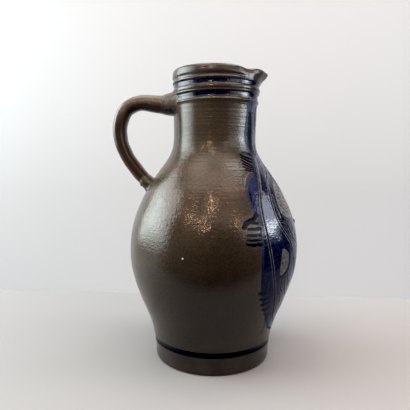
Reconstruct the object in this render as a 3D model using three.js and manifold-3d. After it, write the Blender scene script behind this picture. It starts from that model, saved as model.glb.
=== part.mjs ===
// Stoneware beer pitcher: a thrown salt-glazed jug with a tall neck, a banded collar,
// a pulled pouring lip and a pulled strap handle.
// Millimetres, +Z up. The foot stands on z = 0 and the thrown axis is Z.
// The lip points to +X and the handle is at -X.

import * as THREE from 'three';
import { mergeVertices } from 'three/addons/utils/BufferGeometryUtils.js';
import Module from 'manifold-3d';

const wasm = await Module();
wasm.setup();

// ---------------------------------------------------------------- driving dimensions
const RIM_HEIGHT = 290.4;      // top of the rim above the foot
const TURNS = 56;              // facets round the thrown wall
const FLOOR = 9.0;             // thickness of the floor
const GAP = 0.3;               // clearance kept between neighbouring pieces
const GAP_RADIAL = 0.42;       // the same clearance measured along the radius on the sloping shoulder

// Outer wall from the foot to the neck: [radius, height].
const OUTER_WALL = [
  [59.20, 3.0], [59.30, 10.0], [60.15, 16.4], [60.45, 18.2], [59.75, 19.0], [59.75, 20.4],
  [60.85, 21.3], [61.60, 25.3], [62.60, 30.5], [64.70, 37.1], [68.00, 45.8], [72.65, 56.7],
  [77.75, 69.8], [82.05, 82.9], [85.00, 96.0], [86.12, 109.1], [85.60, 122.2], [83.57, 135.3],
  [79.80, 148.4], [74.20, 161.5], [67.50, 174.6], [61.95, 183.3], [55.85, 192.0], [49.55, 200.7],
  [45.55, 207.3], [43.15, 213.8], [41.90, 222.6], [41.85, 235.7], [42.15, 247.5], [42.25, 258.6],
];
// Collar: thin ridges and two wide grooves under a rounded rim: [radius, height].
const COLLAR = [
  [43.15, 259.8], [43.25, 261.0], [42.55, 261.9], [42.50, 266.4], [43.75, 267.3], [44.20, 268.4],
  [44.10, 271.6], [43.00, 272.6], [42.90, 278.0], [43.85, 278.8], [44.00, 279.8], [42.95, 281.2],
  [42.95, 283.2], [43.95, 284.8],
];
const RIM = [[44.15, 287.2], [43.75, 289.0], [42.60, 290.15], [41.20, 290.4], [39.70, 289.7], [38.75, 288.0]];
// Inner wall from the rim down to the floor: [radius, height].
const INNER_WALL = [
  [38.25, 282.0], [37.00, 262.0], [36.35, 236.0], [36.60, 222.0], [38.90, 210.5], [43.60, 200.5],
  [50.30, 190.5], [60.20, 175.5], [67.60, 161.5], [73.60, 148.4], [79.60, 122.2], [80.05, 109.1],
  [78.80, 96.0], [75.60, 82.9], [71.20, 69.8], [65.90, 56.7], [58.40, 37.1], [55.40, 24.0],
  [52.40, 15.0], [47.00, 10.2], [38.00, FLOOR], [14.0, FLOOR],
];

// The thrown wall leans a little: [height, shift along X].
const LEAN = [[0, -0.3], [60, -0.6], [130, 0.2], [200, 0.25], [264, 0.85], [290, 0.9]];
// The collar is a little out of level: [height, slope in degrees, rising towards +X].
const LEVEL = [[0, 0], [222, 0], [258, 1.2], [276, 1.2], [286, -0.2], [290, -0.48]];

// Pulled lip: [angle from +X in degrees, outward pull at the rim].
const LIP_PULL = [
  [0, 9.4], [3, 8.8], [6.5, 7.4], [12, 6.0], [18.9, 4.6], [24.8, 3.1], [33.6, 0.6], [43.9, -1.9],
  [50, -1.6], [58, -0.3], [66, 0], [180, 0],
];
// Share of the pull at each height: [height, share].
const LIP_FADE = [[0, 0], [246, 0], [256, 0.02], [264, 0.05], [271, 0.09], [275, 0.15], [278, 0.25], [281, 0.42],
  [284, 0.63], [287, 0.86], [289.2, 1], [300, 1]];
// The rim rises into the lip and dips beside it: [angle from +X in degrees, drop].
const LIP_DIP = [[0, -0.3], [6, -0.7], [12, -1.0], [18, -1.1], [25, -1.0], [29, -0.6], [33.6, 0.1], [40, 0.9], [45, 1.1],
  [52, 0.7], [62, 0.1], [70, 0], [180, 0]];

// Handle centreline in the XZ plane with half thickness and half width.
const STRAP = [
  // x, z, half thickness, half width
  [-34.0, 258.6, 9.0, 12.2],
  [-41.0, 258.4, 9.0, 12.2],
  [-47.0, 258.3, 9.0, 12.1],
  [-52.0, 258.3, 9.0, 12.0],
  [-57.3, 258.6, 8.85, 11.9],
  [-62.4, 259.2, 8.60, 11.8],
  [-68.5, 259.9, 8.20, 11.6],
  [-74.3, 260.0, 7.80, 11.5],
  [-79.8, 259.1, 7.55, 11.4],
  [-85.1, 256.8, 7.50, 11.4],
  [-89.7, 253.3, 7.45, 11.3],
  [-93.1, 248.5, 7.40, 11.3],
  [-95.5, 242.5, 7.35, 11.3],
  [-96.8, 235.5, 7.25, 11.3],
  [-96.9, 228.5, 7.10, 11.3],
  [-95.8, 221.6, 6.95, 11.2],
  [-93.6, 214.4, 6.85, 11.2],
  [-90.5, 207.6, 6.80, 11.2],
  [-86.8, 201.4, 6.85, 11.3],
  [-82.7, 195.6, 6.90, 11.4],
  [-78.5, 190.3, 6.90, 11.6],
  [-74.4, 185.6, 6.70, 11.7],
  [-70.2, 181.0, 6.40, 11.8],
  [-66.2, 176.8, 6.20, 11.8],
  [-61.2, 171.8, 6.20, 11.8],
  [-55.7, 166.3, 6.20, 11.8],
];
const STRAP_SIDES = 20;        // facets round the strap
const STRAP_STEPS = 34;        // steps along the strap

// Clay worked round each root: how far it runs along the strap and how much it stands out.
const UPPER_LUTE = { from: 0.0, to: 0.128, thick: 0.75, flareThick: 3.2, flareWide: 3.6, steps: 7 };
const LOWER_LUTE = { from: 0.868, to: 1.0, thick: 0.75, flareThick: 2.2, flareWide: 4.4, steps: 7 };

// Small boss on the front of the belly.
const BEAD = { z: 140.0, across: 3.0, proud: 2.35 };

// ---------------------------------------------------------------- helpers
function table(rows, x, column = 1) {
  if (x <= rows[0][0]) return rows[0][column];
  for (let i = 1; i < rows.length; i++) {
    if (x <= rows[i][0]) {
      const t = (x - rows[i - 1][0]) / (rows[i][0] - rows[i - 1][0]);
      return rows[i - 1][column] + t * (rows[i][column] - rows[i - 1][column]);
    }
  }
  return rows[rows.length - 1][column];
}

// Positions only, shared vertices joined, and no collapsed triangles.
function clean(geometry) {
  const g = geometry.clone();
  g.deleteAttribute('normal');
  g.deleteAttribute('uv');
  const merged = mergeVertices(g, 1e-4);
  const index = merged.index.array;
  const kept = [];
  for (let i = 0; i < index.length; i += 3) {
    const [a, b, c] = [index[i], index[i + 1], index[i + 2]];
    if (a !== b && b !== c && c !== a) kept.push(a, b, c);
  }
  merged.setIndex(kept);
  return merged;
}

function signedVolume(geometry) {
  const p = geometry.attributes.position;
  const index = geometry.index.array;
  const a = new THREE.Vector3(), b = new THREE.Vector3(), c = new THREE.Vector3();
  let sum = 0;
  for (let i = 0; i < index.length; i += 3) {
    a.fromBufferAttribute(p, index[i]);
    b.fromBufferAttribute(p, index[i + 1]);
    c.fromBufferAttribute(p, index[i + 2]);
    sum += a.dot(b.cross(c)) / 6;
  }
  return sum;
}

function facingOut(geometry) {
  if (signedVolume(geometry) < 0) {
    const index = geometry.index.array;
    for (let i = 0; i < index.length; i += 3) {
      const t = index[i + 1];
      index[i + 1] = index[i + 2];
      index[i + 2] = t;
    }
  }
  return geometry;
}

function toSolid(geometry) {
  const g = facingOut(clean(geometry));
  return new wasm.Manifold(new wasm.Mesh({
    numProp: 3,
    vertProperties: new Float32Array(g.attributes.position.array),
    triVerts: new Uint32Array(g.index.array),
  }));
}

function toGeometry(solid) {
  const mesh = solid.getMesh();
  const g = new THREE.BufferGeometry();
  const count = mesh.vertProperties.length / mesh.numProp;
  const position = new Float32Array(count * 3);
  for (let i = 0; i < count; i++) {
    for (let k = 0; k < 3; k++) position[3 * i + k] = mesh.vertProperties[i * mesh.numProp + k];
  }
  g.setAttribute('position', new THREE.BufferAttribute(position, 3));
  g.setIndex(Array.from(mesh.triVerts));
  return g;
}

// ---------------------------------------------------------------- thrown wall
// Moves a point of the plain lathe shape to its place on the thrown and pulled wall.
// On the outside, the collar's ridges smooth out under the lip.
function thrown(point, inner) {
  const radius = Math.hypot(point.x, point.y);
  if (radius < 1e-6) return point;
  const angle = Math.abs(THREE.MathUtils.radToDeg(Math.atan2(point.y, point.x)));
  const z = point.z;
  let r = radius;
  if (!inner && z > 261.5 && z < 286.5 && radius > 42) {
    const underLip = 1 - THREE.MathUtils.smoothstep(angle, 44, 58);
    const smooth = table([[261, 42.9], [268, 44.0], [273, 43.4], [278, 43.2], [287, 44.1]], z);
    const share = underLip * THREE.MathUtils.smoothstep(z, 273, 280);
    r = r + (smooth - r) * share;
  }
  r += table(LIP_PULL, angle) * table(LIP_FADE, z) * (inner ? 1.06 : 1);
  const top = THREE.MathUtils.smoothstep(z, 274, 288);
  const x = r * point.x / radius + table(LEAN, z);
  const y = r * point.y / radius;
  const up = z - table(LIP_DIP, angle) * top + x * Math.tan(THREE.MathUtils.degToRad(table(LEVEL, z)));
  return point.set(x, y, up);
}

function latheOf(profile, innerFrom) {
  const points = profile.map(([r, z]) => new THREE.Vector2(r, z));
  const g = new THREE.LatheGeometry(points, TURNS);
  g.rotateX(Math.PI / 2);                  // the lathe turns about Y: stand it up on Z
  const p = g.attributes.position;
  const v = new THREE.Vector3();
  const rings = profile.length;
  for (let i = 0; i < p.count; i++) {
    v.fromBufferAttribute(p, i);
    const ring = i % rings;
    thrown(v, ring >= innerFrom);
    if (profile[ring][1] === 0) v.z = 0;
    p.setXYZ(i, v.x, v.y, v.z);
  }
  return g;
}

const outerProfile = [[0, 0], [57.6, 0], [58.8, 0.9], ...OUTER_WALL, ...COLLAR, ...RIM.slice(0, 4)];
const bodyProfile = [...outerProfile, ...RIM.slice(4), ...INNER_WALL, [0, FLOOR]];
const bodyGeometry = facingOut(clean(latheOf(bodyProfile, outerProfile.length)));

// The wall's outside as a full solid, a little larger: it trims whatever is planted on the wall.
const grownProfile = [
  [0, 0],
  ...outerProfile.slice(1).map(([r, z]) => [r + GAP_RADIAL, z]),
  [0, RIM_HEIGHT],
];
const grownWall = toSolid(latheOf(grownProfile, grownProfile.length));

// ---------------------------------------------------------------- strap handle
const strapCurve = new THREE.CatmullRomCurve3(
  STRAP.map(([x, z]) => new THREE.Vector3(x, 0, z)), false, 'centripetal');
const strapThick = new THREE.CatmullRomCurve3(
  STRAP.map(([, , h, w], i) => new THREE.Vector3(i, h, w)), false, 'centripetal');

// A swept piece of oval section between two places along the strap's centreline.
// `section(s)` gives the half sizes: outward side, inward side and width.
function sweep(from, to, steps, section) {
  const g = new THREE.CylinderGeometry(1, 1, 1, STRAP_SIDES, steps);
  const p = g.attributes.position;
  const across = new THREE.Vector3(0, 1, 0);
  for (let i = 0; i < p.count; i++) {
    const s = 0.5 - p.getY(i);
    const t = from + (to - from) * s;
    const centre = strapCurve.getPoint(t);
    const tangent = strapCurve.getTangent(t);
    const outward = new THREE.Vector3().crossVectors(tangent, across).normalize();
    const { out, back, wide } = section(s, t);
    const a = p.getX(i), b = p.getZ(i);
    const v = centre
      .addScaledVector(outward, a * (a > 0 ? out : back))
      .addScaledVector(across, b * wide);
    p.setXYZ(i, v.x, v.y, v.z);
  }
  return g;
}

function strapSection(t, grow) {
  const s = strapThick.getPoint(t);
  return { out: s.y + grow, back: s.y + grow, wide: s.z + grow };
}

const strapSolid = toSolid(sweep(0, 1, STRAP_STEPS, (s, t) => strapSection(t, 0)));
const grownStrap = toSolid(sweep(0, 1, STRAP_STEPS, (s, t) => strapSection(t, GAP)));
const handleGeometry = toGeometry(strapSolid.subtract(grownWall));

function luting({ from, to, thick, flareThick, flareWide, steps }, rootAtStart) {
  const raw = toSolid(sweep(from, to, steps, (s, t) => {
    const near = rootAtStart ? 1 - s : s;           // 1 inside the wall, 0 at the feathered end
    const flare = Math.pow(near, 1.6);
    const base = strapSection(t, GAP + thick);
    return {
      out: base.out + flareThick * flare,
      back: base.back + flareThick * flare * 1.1,
      wide: base.wide + flareWide * flare,
    };
  }));
  return toGeometry(raw.subtract(grownStrap).subtract(grownWall));
}

const upperLutingGeometry = luting(UPPER_LUTE, true);
const lowerLutingGeometry = luting(LOWER_LUTE, false);

// ---------------------------------------------------------------- front boss
const beadRaw = new THREE.SphereGeometry(1, 20, 12);
{
  const wallRadius = 82.35 + table(LEAN, BEAD.z);
  beadRaw.scale(BEAD.proud, BEAD.across, BEAD.across);
  beadRaw.rotateY(THREE.MathUtils.degToRad(-16.5));   // lies square on the sloping wall
  beadRaw.translate(wallRadius, 0, BEAD.z);
}
const beadGeometry = toGeometry(toSolid(beadRaw).subtract(grownWall));

// ---------------------------------------------------------------- assembly
function piece(name, geometry, material) {
  geometry.computeVertexNormals();
  const mesh = new THREE.Mesh(geometry, material);
  mesh.name = name;
  return mesh;
}

const stoneware = new THREE.MeshStandardMaterial({ color: 0x6f675b, roughness: 0.32, metalness: 0 });
const strapClay = new THREE.MeshStandardMaterial({ color: 0x5b4f43, roughness: 0.34, metalness: 0 });
const luteClay = new THREE.MeshStandardMaterial({ color: 0x675d50, roughness: 0.36, metalness: 0 });
const lowerLuteClay = new THREE.MeshStandardMaterial({ color: 0x625a4e, roughness: 0.36, metalness: 0 });
const cobalt = new THREE.MeshStandardMaterial({ color: 0x1d2450, roughness: 0.28, metalness: 0 });

const group = new THREE.Group();
group.add(piece('vessel_body', bodyGeometry, stoneware));
group.add(piece('handle', handleGeometry, strapClay));
group.add(piece('handle_upper_luting', upperLutingGeometry, luteClay));
group.add(piece('handle_lower_luting', lowerLutingGeometry, lowerLuteClay));
group.add(piece('front_bead', beadGeometry, cobalt));

export default group;
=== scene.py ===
import math

import bmesh
import bpy
import numpy as np
from mathutils import Matrix, Vector


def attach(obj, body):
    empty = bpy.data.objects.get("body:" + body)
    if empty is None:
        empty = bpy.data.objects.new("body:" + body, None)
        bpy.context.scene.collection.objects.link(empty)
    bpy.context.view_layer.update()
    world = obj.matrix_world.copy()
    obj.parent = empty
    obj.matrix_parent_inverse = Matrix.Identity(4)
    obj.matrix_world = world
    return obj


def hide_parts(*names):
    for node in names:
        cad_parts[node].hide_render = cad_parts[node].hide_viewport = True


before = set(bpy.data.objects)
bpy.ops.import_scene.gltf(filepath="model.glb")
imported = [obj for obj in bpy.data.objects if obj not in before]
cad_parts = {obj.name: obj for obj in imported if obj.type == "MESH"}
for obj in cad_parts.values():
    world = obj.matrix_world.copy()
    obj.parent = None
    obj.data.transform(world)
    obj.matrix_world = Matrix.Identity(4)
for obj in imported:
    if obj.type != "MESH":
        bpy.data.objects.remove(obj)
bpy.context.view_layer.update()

# ---------------------------------------------------------------------------------------------
# Tables, in millimetres. +X is towards the pouring lip, +Z is up the thrown axis.
# ---------------------------------------------------------------------------------------------
FOOT_EDGE = [[57.6, 0], [58.35, 0.2], [58.9, 0.9], [59.2, 3.0]]
OUTER_WALL = [
    [59.30, 10.0], [60.10, 16.0], [60.30, 17.6], [60.16, 18.8], [60.22, 20.6], [60.75, 21.7],
    [61.60, 25.3], [62.60, 30.5], [64.70, 37.1], [68.00, 45.8], [72.65, 56.7], [77.75, 69.8],
    [82.05, 82.9], [85.00, 96.0], [86.12, 109.1], [85.60, 122.2], [83.57, 135.3],
    [79.80, 148.4], [74.20, 161.5], [67.50, 174.6], [61.95, 183.3], [55.85, 192.0],
    [49.55, 200.7], [45.55, 207.3], [43.15, 213.8], [41.90, 222.6], [41.85, 235.7],
    [42.15, 247.5], [42.15, 254.2], [42.35, 256.4],
]
COLLAR = [
    [42.70, 257.6], [43.15, 258.4], [43.25, 259.0], [42.90, 259.7], [42.35, 260.6], [42.20, 262.0],
    [42.25, 264.0], [42.35, 265.9], [43.05, 266.6], [43.60, 267.1], [43.58, 267.5], [43.40, 267.95],
    [43.48, 268.6], [43.88, 269.2], [44.00, 270.0], [43.98, 271.1], [43.75, 271.9], [43.00, 272.7],
    [42.66, 273.6], [42.62, 276.4], [42.72, 277.2], [43.35, 277.9], [43.78, 278.5], [43.76, 279.1],
    [43.35, 279.9], [43.00, 280.9], [42.96, 281.7], [43.30, 282.5], [43.80, 283.3], [44.02, 284.4],
    [43.98, 285.5],
]
RIM = [[43.84, 286.7], [43.66, 288.1], [43.05, 289.5], [42.20, 290.4], [41.10, 290.75], [39.75, 290.1], [38.75, 288.3]]
INNER_WALL = [
    [38.25, 282.0], [37.00, 262.0], [36.35, 236.0], [36.60, 222.0], [38.90, 210.5],
    [43.60, 200.5], [50.30, 190.5], [60.20, 175.5], [67.60, 161.5], [73.60, 148.4],
    [77.80, 135.0], [79.60, 122.2], [80.05, 109.1], [78.80, 96.0], [75.60, 82.9],
    [71.20, 69.8], [65.90, 56.7], [58.40, 37.1], [55.40, 24.0], [52.40, 15.0],
    [47.00, 10.2], [38.00, 9.05], [26.0, 9.1], [14.0, 9.6], [6.0, 10.3], [0.0, 10.5],
]
LEAN = [[0, -0.3], [60, -0.6], [130, 0.2], [200, 0.25], [264, 0.85], [290, 0.9]]
LEVEL = [[0, 0], [222, 0], [258, 1.2], [276, 1.2], [286, -0.2], [290, -0.48]]
LIP_PULL = [
    [0, 9.4], [3, 8.8], [6.5, 7.4], [12, 6.0], [18.9, 4.6], [24.8, 3.1], [33.6, 0.6],
    [43.9, -1.9], [50, -1.7], [58, -1.1], [68, -0.45], [80, -0.1], [90, 0], [180, 0],
]
LIP_FADE = [
    [0, 0], [246, 0], [256, 0.02], [264, 0.05], [271, 0.09], [275, 0.15], [278, 0.25],
    [281, 0.42], [284, 0.63], [287, 0.86], [289.2, 1], [300, 1],
]
LIP_DIP = [
    [0, 0.1], [6, -0.3], [12, -0.62], [18, -0.72], [25, -0.62], [29, -0.25], [33.6, 0.4],
    [40, 1.15], [45, 1.3], [52, 0.9], [62, 0.3], [72, 0], [180, 0],
]
UNDER_LIP = [[261, 42.9], [268, 44.0], [273, 43.4], [278, 43.2], [287, 44.1]]
# The strap's centreline: x, z, half thickness, half width.
STRAP = [
    [-34, 258.6, 9, 12.2], [-41, 258.4, 9, 12.2], [-47, 258.3, 9, 12.1], [-52, 258.3, 9, 12],
    [-57.3, 258.6, 8.85, 11.9], [-62.4, 259.2, 8.6, 11.8], [-68.5, 259.9, 8.2, 11.6],
    [-74.3, 260, 7.8, 11.5], [-79.8, 259.1, 7.55, 11.4], [-85.1, 256.8, 7.5, 11.4],
    [-89.7, 253.3, 7.45, 11.3], [-93.1, 248.5, 7.4, 11.3], [-95.5, 242.5, 7.35, 11.3],
    [-96.8, 235.5, 7.25, 11.3], [-96.9, 228.5, 7.1, 11.3], [-95.8, 221.6, 6.95, 11.2],
    [-93.6, 214.4, 6.85, 11.2], [-90.5, 207.6, 6.8, 11.2], [-86.8, 201.4, 6.85, 11.3],
    [-82.7, 195.6, 6.9, 11.4], [-78.5, 190.3, 6.9, 11.6], [-74.4, 185.6, 6.7, 11.7],
    [-70.2, 181, 6.4, 11.8], [-66.2, 176.8, 6.2, 11.8], [-61.2, 171.8, 6.2, 11.8],
    [-55.7, 166.3, 6.2, 11.8],
]


def smooth(x, a, b):
    t = np.clip((np.asarray(x, float) - a) / (b - a), 0, 1)
    return t * t * (3 - 2 * t)


def curve(points, x):
    """Monotone cubic through a table of (x, y) pairs."""
    p = np.asarray(points, float)
    h = np.diff(p[:, 0])
    d = np.diff(p[:, 1]) / h
    m = np.zeros(len(p))
    w1, w2 = 2 * h[1:] + h[:-1], h[1:] + 2 * h[:-1]
    same = d[:-1] * d[1:] > 0
    with np.errstate(divide="ignore", invalid="ignore"):
        m[1:-1] = np.where(same, (w1 + w2) / (w1 / d[:-1] + w2 / d[1:]), 0)
    m[0], m[-1] = d[0], d[-1]
    x = np.clip(np.asarray(x, float), p[0, 0], p[-1, 0])
    i = np.clip(np.searchsorted(p[:, 0], x, side="right") - 1, 0, len(h) - 1)
    t = (x - p[i, 0]) / h[i]
    return (
        (2 * t**3 - 3 * t**2 + 1) * p[i, 1]
        + (t**3 - 2 * t**2 + t) * h[i] * m[i]
        + (3 * t**2 - 2 * t**3) * p[i + 1, 1]
        + (t**3 - t**2) * h[i] * m[i + 1]
    )


def spline(points, step=0.25):
    """Centripetal Catmull-Rom through the points (rows of any width), sampled about every step mm."""
    p = np.asarray(points, float)
    p = np.vstack([2 * p[0] - p[1], p, 2 * p[-1] - p[-2]])
    out = []
    for i in range(1, len(p) - 2):
        a, b, c, d = p[i - 1 : i + 3]
        t = [0.0]
        for u, v in ((a, b), (b, c), (c, d)):
            t.append(t[-1] + max(np.linalg.norm(v - u), 1e-9) ** 0.5)
        n = max(2, int(np.linalg.norm(c - b) / step))
        for x in np.linspace(t[1], t[2], n, endpoint=False):
            a1 = ((t[1] - x) * a + (x - t[0]) * b) / (t[1] - t[0])
            a2 = ((t[2] - x) * b + (x - t[1]) * c) / (t[2] - t[1])
            a3 = ((t[3] - x) * c + (x - t[2]) * d) / (t[3] - t[2])
            b1 = ((t[2] - x) * a1 + (x - t[0]) * a2) / (t[2] - t[0])
            b2 = ((t[3] - x) * a2 + (x - t[1]) * a3) / (t[3] - t[1])
            out.append(((t[2] - x) * b1 + (x - t[1]) * b2) / (t[2] - t[1]))
    out.append(p[-2])
    return np.array(out)


def wavy(seed, *axes, n=7):
    """Smooth deterministic noise in about -1..1 over coordinates given as (values, wavelength)."""
    rng = np.random.RandomState(seed)
    total = 0.0
    for _ in range(n):
        phase = rng.uniform(0, 2 * math.pi)
        arg = phase
        for values, wave in axes:
            arg = arg + rng.uniform(-1, 1) * 2 * math.pi * np.asarray(values, float) / wave
        total = total + np.sin(arg)
    return total / math.sqrt(n)


# ---------------------------------------------------------------------------------------------
# The thrown wall's profile, as one line from the middle of the underside to the inner floor
# ---------------------------------------------------------------------------------------------
UNDERSIDE = [[0.0, 0.75], [12, 0.7], [28, 0.62], [44, 0.5], [51, 0.3], [53.5, 0.08], [55, 0.0]]
under = spline(UNDERSIDE, 0.5)
under[:, 1] = np.clip(under[:, 1], 0, None)
outer = spline(FOOT_EDGE + OUTER_WALL + COLLAR + RIM[:5])
inner = spline([RIM[3]] + RIM[4:] + INNER_WALL)
inner = inner[np.argmax(np.hypot(*(inner - np.array(RIM[4])).T) < 1e-6) + 1 :]
PROFILE = np.vstack([under, outer, inner])
PROFILE[:, 0] = np.clip(PROFILE[:, 0], 0, 86.03)
ARC = np.concatenate([[0], np.cumsum(np.hypot(*np.diff(PROFILE, axis=0).T))])
keep = np.concatenate([[True], np.diff(ARC) > 1e-7])
PROFILE, ARC = PROFILE[keep], ARC[keep]
TOTAL = ARC[-1]
CREST = ARC[np.argmax(PROFILE[:, 1])]  # the rim's crest
EDGE = ARC[np.argmin(np.hypot(PROFILE[:, 0] - 57.6, PROFILE[:, 1]))]  # the foot's lower edge
is_out = (ARC >= EDGE) & (ARC <= CREST)
OUT_Z, OUT_S = PROFILE[is_out, 1], ARC[is_out]
order = np.argsort(OUT_Z, kind="stable")
OUT_Z, OUT_S = OUT_Z[order], OUT_S[order]
TANGENT = np.gradient(PROFILE, ARC, axis=0)
TANGENT /= np.hypot(*TANGENT.T)[:, None]


def r_of(s):
    return np.interp(s, ARC, PROFILE[:, 0])


def z_of(s):
    return np.interp(s, ARC, PROFILE[:, 1])


def s_at(z):
    """Arc position of a height on the outside of the wall."""
    return np.interp(z, OUT_Z, OUT_S)


def thrown(r, a, z, inside):
    """Where a point of the plain lathe shape goes: the neck leans, the rim is level with the table's
    view of it, and the lip is pulled out over the ornament. All in mm, a in radians, inside 0..1."""
    ang = np.abs(np.degrees((a + math.pi) % (2 * math.pi) - math.pi))
    out = (inside < 0.5) & (z > 261.5) & (z < 286.5) & (r > 42)
    blend = (1 - smooth(ang, 44, 58)) * smooth(z, 273, 280) * out
    r = r + (curve(UNDER_LIP, z) - r) * blend
    r = r + curve(LIP_PULL, ang) * curve(LIP_FADE, z) * (1 + 0.06 * inside)
    top = smooth(z, 274, 288)
    x = r * np.cos(a) + curve(LEAN, z)
    y = r * np.sin(a)
    up = z - curve(LIP_DIP, ang) * top + x * np.tan(np.radians(curve(LEVEL, z)))
    return x, y, up


# ---------------------------------------------------------------------------------------------
# The incised and painted front. Positions are (degrees round from the lip's line, height in mm);
# one half is written out and the other is its mirror, a little off as a hand leaves it.
# ---------------------------------------------------------------------------------------------
STEM_1 = [
    (37.0, 260.4), (34.5, 254.6), (32.2, 246.2), (30.2, 236.8), (29.2, 227.2), (29.2, 217.4),
    (30.6, 210.3), (36.2, 202.6), (41.9, 194.9), (47.1, 186.4), (50.9, 178.9), (54.4, 169.8),
    (56.4, 161.5), (57.1, 153.0), (57.1, 145.8), (56.7, 138.7), (56.1, 131.7), (55.3, 124.7),
    (54.1, 116.6), (52.9, 109.0), (51.5, 101.0), (49.6, 92.8), (46.9, 83.8), (44.0, 73.8),
    (40.0, 62.5), (34.0, 50.5), (25.0, 42.5), (13.0, 38.3), (0.0, 37.0),
]
STEM_2 = [
    (0.0, 208.5), (8.0, 206.4), (15.0, 200.8), (22.0, 195.1), (31.0, 188.8), (37.9, 182.6),
    (42.1, 175.4), (44.5, 167.2), (45.3, 160.5), (45.6, 154.8), (44.9, 148.9), (43.5, 143.9),
    (41.1, 138.8), (37.7, 133.0), (33.5, 126.6), (30.4, 120.4), (28.4, 113.1), (25.6, 104.0),
    (20.5, 93.0), (12.5, 82.5), (5.0, 76.0), (0.0, 73.4),
]
PAINTED = [  # the blue ground's edge, from the neck down to the foot's curve
    (0.0, 261.6), (22.0, 261.4), (46.5, 260.2), (46.0, 255.0), (45.4, 248.8), (46.2, 244.5),
    (47.2, 239.7), (48.0, 235.0), (48.6, 230.2), (48.8, 225.5), (48.0, 220.7), (46.0, 216.0),
    (42.6, 211.8), (40.8, 208.0), (43.6, 202.6), (47.0, 197.6), (51.0, 192.8), (55.7, 189.6),
    (60.1, 186.6), (63.5, 182.4), (65.5, 177.2), (66.4, 171.2), (66.2, 165.2), (65.1, 159.2),
    (63.8, 154.0), (62.9, 148.9), (62.3, 144.6), (62.1, 139.5), (61.8, 134.3), (61.3, 130.0),
    (61.1, 125.6), (61.4, 118.7), (61.3, 109.9), (61.2, 100.8), (60.5, 92.3), (59.4, 85.3),
    (57.6, 77.9), (55.4, 71.1), (52.2, 63.9), (47.4, 55.7), (41.4, 46.8), (36.5, 40.0),
    (29.0, 35.2), (16.0, 31.6), (0.0, 30.6),
]
# Brush strokes off the ground's edge: points and half widths from the tip inwards.
BRUSH = [
    ([(55.6, 210.1), (48.4, 209.1), (40.0, 207.3)], [0.85, 1.25, 1.3]),
    ([(59.3, 207.6), (53.6, 205.7), (43.0, 202.8)], [0.9, 1.3, 1.2]),
    ([(59.1, 204.9), (53.8, 202.8), (45.0, 199.9)], [0.9, 1.2, 1.1]),
    ([(59.8, 202.1), (55.0, 199.8), (46.8, 197.0)], [0.9, 1.2, 1.1]),
    ([(60.3, 199.1), (55.4, 197.0), (48.0, 194.8)], [0.9, 1.2, 1.1]),
    ([(60.9, 196.2), (56.5, 194.5), (49.6, 192.9)], [0.85, 1.15, 1.1]),
    ([(59.9, 193.4), (55.8, 192.4), (50.4, 191.6)], [0.75, 1.0, 1.0]),
    ([(72.4, 143.9), (71.1, 146.6), (68.3, 148.9), (64.9, 150.6), (62.7, 153.9)], [2.1, 2.5, 2.4, 2.0, 2.2]),
    ([(69.4, 147.9), (66.6, 147.5), (62.6, 146.9)], [0.95, 1.3, 1.5]),
    ([(69.6, 142.3), (65.8, 142.1), (61.4, 142.3)], [1.1, 1.4, 1.6]),
    ([(70.8, 136.9), (67.0, 136.6), (61.8, 136.8)], [1.05, 1.35, 1.5]),
    ([(71.0, 133.1), (67.3, 132.6), (61.8, 132.7)], [0.9, 1.15, 1.3]),
    ([(71.6, 129.6), (69.0, 128.8), (65.5, 128.5), (60.9, 128.6)], [0.9, 1.35, 1.5, 1.7]),
    ([(60.2, 83.6), (58.0, 83.0), (55.8, 82.4)], [1.6, 1.9, 1.7]),
    ([(58.4, 77.2), (55.2, 76.2), (52.0, 76.4)], [1.4, 1.8, 1.7]),
    ([(56.4, 71.2), (53.0, 70.6), (50.0, 71.4)], [1.4, 1.8, 1.7]),
    ([(53.6, 65.2), (50.4, 64.2), (47.0, 65.4)], [1.4, 1.8, 1.7]),
    ([(49.2, 58.8), (46.4, 57.4), (43.0, 58.0)], [1.3, 1.8, 1.7]),
    ([(46.4, 54.4), (43.4, 47.5), (41.6, 40.6), (43.4, 35.6)], [1.2, 1.0, 1.0, 0.5]),
]
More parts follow.
